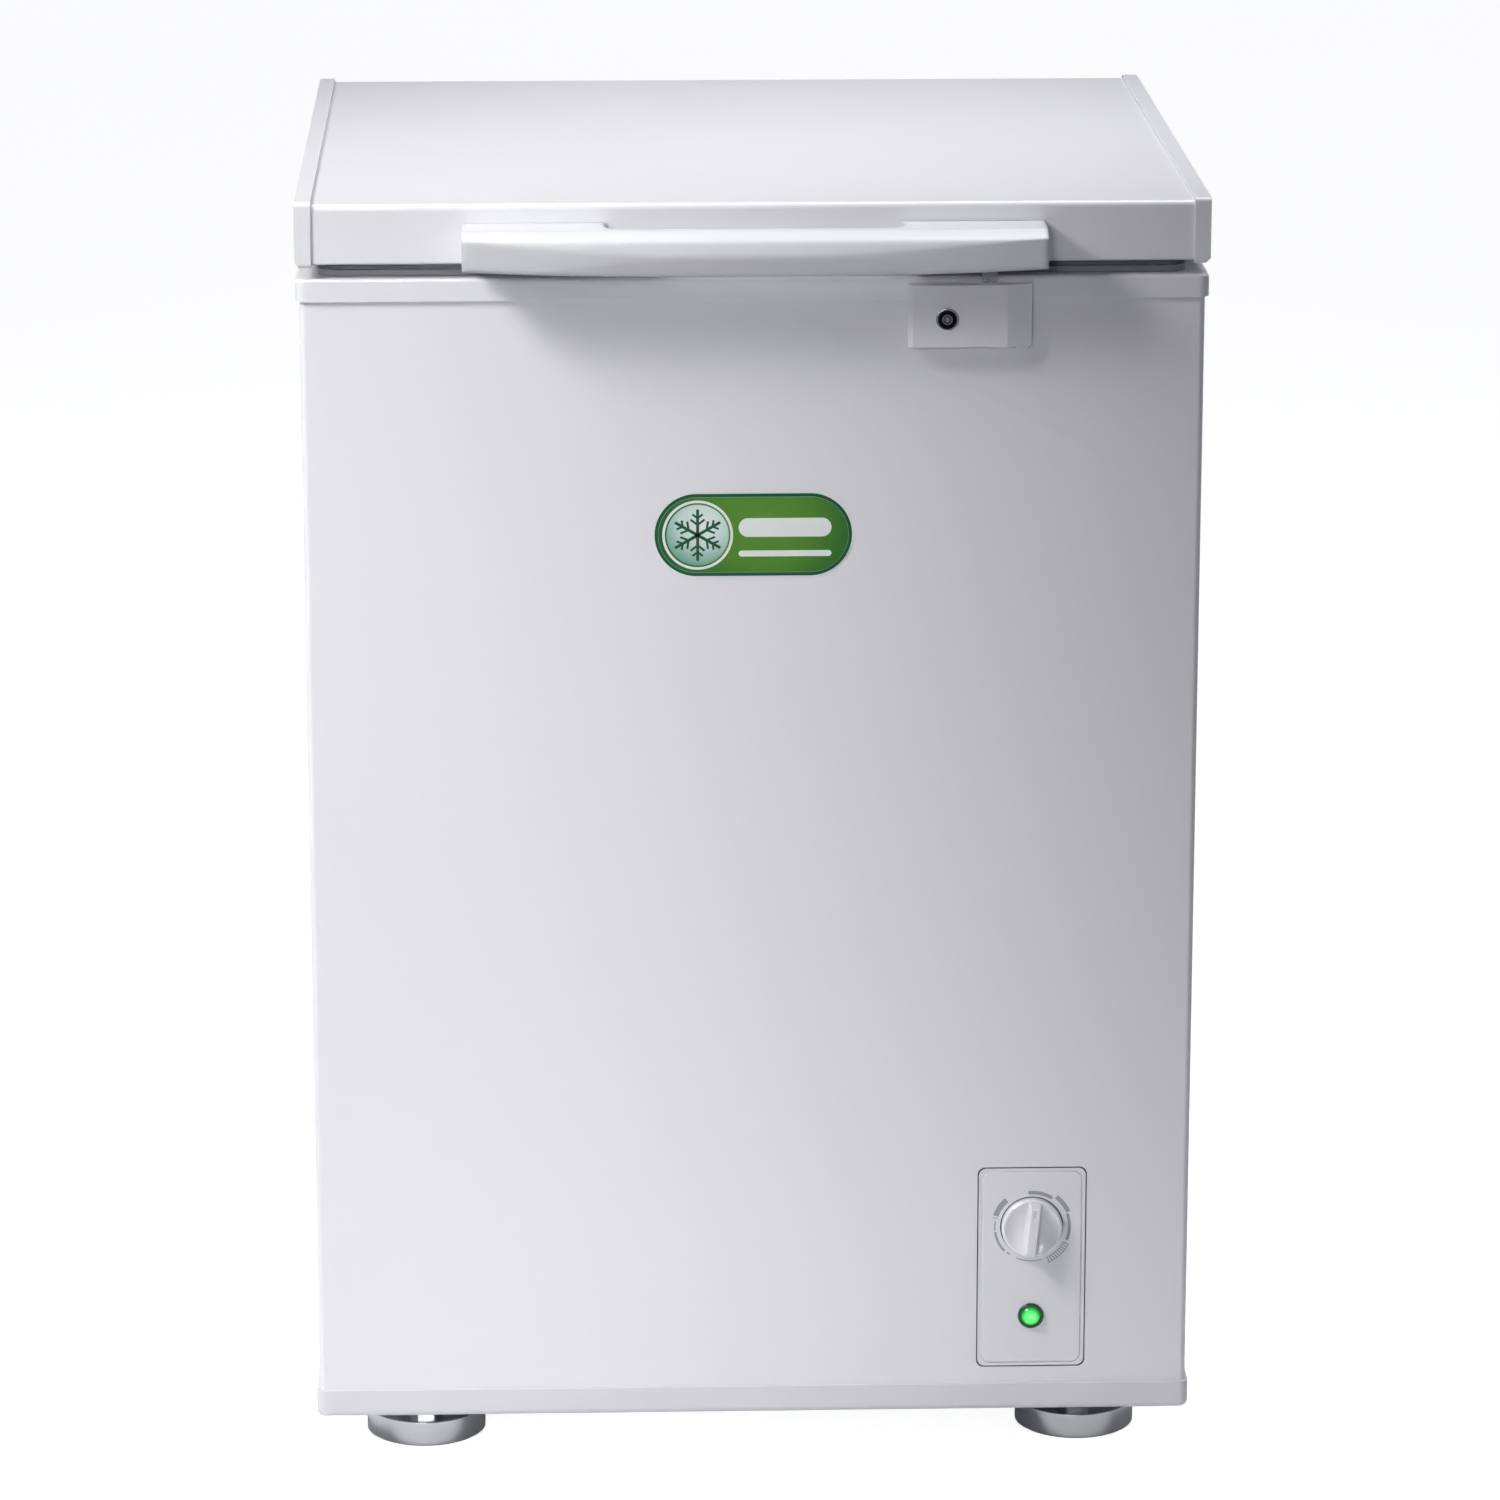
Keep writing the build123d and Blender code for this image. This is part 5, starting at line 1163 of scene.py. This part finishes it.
class FREEZER_OT_louvres(bpy.types.Operator):
    """Set sloping blades behind the side vent's slots"""

    bl_idname = "freezer.louvres"
    bl_label = "Vent louvres"

    def execute(self, context):
        sizes = context.scene.freezer_sizes
        centre = (VENT_LOW + VENT_HIGH) / 2
        length = VENT_HIGH.y - VENT_LOW.y - BLADE_SHORTER
        bm = bmesh.new()
        for index in range(sizes.louvres):
            before = set(bm.verts)
            made = bmesh.ops.create_cube(bm, size=1.0)["verts"]
            bmesh.ops.scale(bm, verts=made, vec=(sizes.louvre_depth, length, BLADE_THICKNESS))
            bmesh.ops.bevel(
                bm,
                geom=edges_of(made),
                offset=BLADE_BEVEL,
                affect="EDGES",
                segments=2,
                profile=0.5,
                material=-1,
            )
            blade = [vert for vert in bm.verts if vert not in before]
            height = centre.z + (index - (sizes.louvres - 1) / 2) * BLADE_PITCH + BLADE_RAISE
            spot = Vector((VENT_LOW.x - BLADE_BEHIND, centre.y, height))
            matrix = Matrix.Translation(spot) @ Matrix.Rotation(sizes.louvre_tilt, 4, "Y")
            bmesh.ops.transform(bm, verts=blade, matrix=matrix)
        make_piece("vent_louvres", bm, "cabinet", "vent_plastic")
        return {"FINISHED"}


# name, place, point aimed at, width and height, watts, spread in degrees, colour
LIGHTS = (
    ("key_high", (-1.3, -1.0, 1.8), (-0.32, -0.24, 0.36), (0.6, 0.6), 4.8, 60, (1.0, 1.0, 0.98)),
    ("key_front", (-0.6, -3.2, 1.2), (-0.19, -0.24, 0.42), (0.7, 1.2), 0.88, 18, (0.99, 0.99, 1.0)),
    ("top_soft", (-0.5, 0.2, 2.1), (-0.05, 0.0, 0.85), (0.9, 0.9), 1.9, 66, (1.0, 1.0, 0.99)),
    ("top_right", (0.6, 0.3, 2.2), (0.15, 0.0, 0.85), (0.8, 0.8), 2.0, 50, (0.97, 0.98, 1.0)),
    ("fill_right", (2.6, -0.6, 1.2), (0.0, 0.0, 0.4), (1.4, 1.8), 2.0, 180, (0.86, 0.92, 1.0)),
    ("back_left", (-2.3, 2.0, 1.0), (0.0, 0.0, 0.4), (1.2, 1.4), 11.0, 180, (0.96, 0.98, 1.0)),
    ("back_right", (2.3, 2.0, 1.0), (0.0, 0.0, 0.4), (1.2, 1.4), 11.0, 180, (0.96, 0.98, 1.0)),
)
CAMERA_PLACE = (-0.132, -4.173, 1.531)
CAMERA_DOWN, CAMERA_RIGHT = 14.85, 1.89  # degrees that it looks down and to the right
FLOOR_GLOW = 0.88


class FREEZER_OT_stage(bpy.types.Operator):
    """Lay the pale floor and set the studio lights and the camera"""

    bl_idname = "freezer.stage"
    bl_label = "Stage"

    def execute(self, context):
        scene = context.scene
        bm = bmesh.new()
        bmesh.ops.create_grid(bm, x_segments=8, y_segments=8, size=14.0)
        mesh = bpy.data.meshes.new("floor")
        bm.to_mesh(mesh)
        bm.free()
        floor = bpy.data.objects.new("floor", mesh)
        scene.collection.objects.link(floor)
        mesh.materials.append(MATERIALS["floor"])
        self.lift_floor(MATERIALS["floor"])
        self.sky(scene)
        for name, spot, aim, size, energy, spread, colour in LIGHTS:
            light = bpy.data.lights.new(name, "AREA")
            light.shape, light.size, light.size_y = "RECTANGLE", *size
            light.energy, light.spread, light.color = energy, math.radians(spread), colour
            lamp = bpy.data.objects.new(name, light)
            lamp.location = spot
            lamp.rotation_euler = (Vector(aim) - Vector(spot)).to_track_quat("-Z", "Y").to_euler()
            scene.collection.objects.link(lamp)
        self.camera(scene)
        scene.view_settings.view_transform = "Standard"
        return {"FINISHED"}

    @staticmethod
    def lift_floor(material):
        """Keeps the floor pale where the camera sees it from above, and clear from below."""
        tree = material.node_tree
        shader = tree.nodes["Principled BSDF"]
        ray = add_node(tree, "LightPath")
        glow = add_node(tree, "Emission", {"Strength": FLOOR_GLOW})
        side = add_node(tree, "NewGeometry")
        clear = add_node(tree, "BsdfTransparent")
        both = add_node(tree, "AddShader")
        choice = add_node(tree, "MixShader")
        below = add_node(tree, "MixShader")
        wire(
            tree,
            (shader.outputs[0], both.inputs[0]),
            (glow.outputs[0], both.inputs[1]),
            (ray.outputs["Is Camera Ray"], choice.inputs[0]),
            (shader.outputs[0], choice.inputs[1]),
            (both.outputs[0], choice.inputs[2]),
            (side.outputs["Backfacing"], below.inputs[0]),
            (choice.outputs[0], below.inputs[1]),
            (clear.outputs[0], below.inputs[2]),
            (below.outputs[0], tree.nodes["Material Output"].inputs["Surface"]),
        )

    @staticmethod
    def sky(scene):
        """Even studio surround, white where the camera sees it."""
        world = bpy.data.worlds.new("studio")
        scene.world = world
        world.use_nodes = True
        tree = world.node_tree
        plain = tree.nodes["Background"]
        plain.inputs["Color"].default_value = (0.84, 0.87, 1.0, 1)
        plain.inputs["Strength"].default_value = 0.12
        white = add_node(tree, "Background", {"Color": (1, 1, 1, 1), "Strength": 1.0})
        ray = add_node(tree, "LightPath")
        choice = add_node(tree, "MixShader")
        wire(
            tree,
            (ray.outputs["Is Camera Ray"], choice.inputs[0]),
            (plain.outputs[0], choice.inputs[1]),
            (white.outputs[0], choice.inputs[2]),
            (choice.outputs[0], tree.nodes["World Output"].inputs["Surface"]),
        )

    @staticmethod
    def camera(scene):
        """Camera above and a little left of the front, looking slightly down."""
        data = bpy.data.cameras.new("camera")
        data.lens, data.sensor_width = 150.0, 36.0
        data.clip_end = 60.0
        eye = bpy.data.objects.new("camera", data)
        eye.location = CAMERA_PLACE
        eye.rotation_euler = (math.radians(90 - CAMERA_DOWN), 0.0, math.radians(-CAMERA_RIGHT))
        scene.collection.objects.link(eye)
        scene.camera = eye


OPERATORS = (
    FREEZER_OT_finishes,
    FREEZER_OT_label,
    FREEZER_OT_dial_scale,
    FREEZER_OT_panel_lines,
    FREEZER_OT_screws,
    FREEZER_OT_louvres,
    FREEZER_OT_stage,
)


class FREEZER_PT_build(bpy.types.Panel):
    """Lists the steps and the settings"""

    bl_label = "Chest freezer"
    bl_idname = "FREEZER_PT_build"
    bl_space_type = "VIEW_3D"
    bl_region_type = "UI"
    bl_category = "Freezer"

    def draw(self, context):
        layout = self.layout
        for operator in OPERATORS:
            layout.operator(operator.bl_idname)
        for settings in (context.scene.freezer_sizes, context.scene.freezer_colours):
            box = layout.box()
            for key in settings.bl_rna.properties.keys():
                if key not in {"rna_type", "name"}:
                    box.prop(settings, key)


CLASSES = (FreezerSizes, FreezerColours, *OPERATORS, FREEZER_PT_build)


def register():
    """Registers the classes and their settings."""
    for cls in CLASSES:
        bpy.utils.register_class(cls)
    bpy.types.Scene.freezer_sizes = PointerProperty(type=FreezerSizes)
    bpy.types.Scene.freezer_colours = PointerProperty(type=FreezerColours)


def unregister():
    """Takes the classes and their settings away."""
    del bpy.types.Scene.freezer_colours
    del bpy.types.Scene.freezer_sizes
    for cls in reversed(CLASSES):
        bpy.utils.unregister_class(cls)


def main():
    """Builds everything."""
    register()
    for operator in OPERATORS:
        group, call = operator.bl_idname.split(".")
        if "FINISHED" not in getattr(getattr(bpy.ops, group), call)():
            raise RuntimeError(f"{operator.bl_idname} didn't finish")
    bpy.context.view_layer.update()


if __name__ == "__main__":
    main()
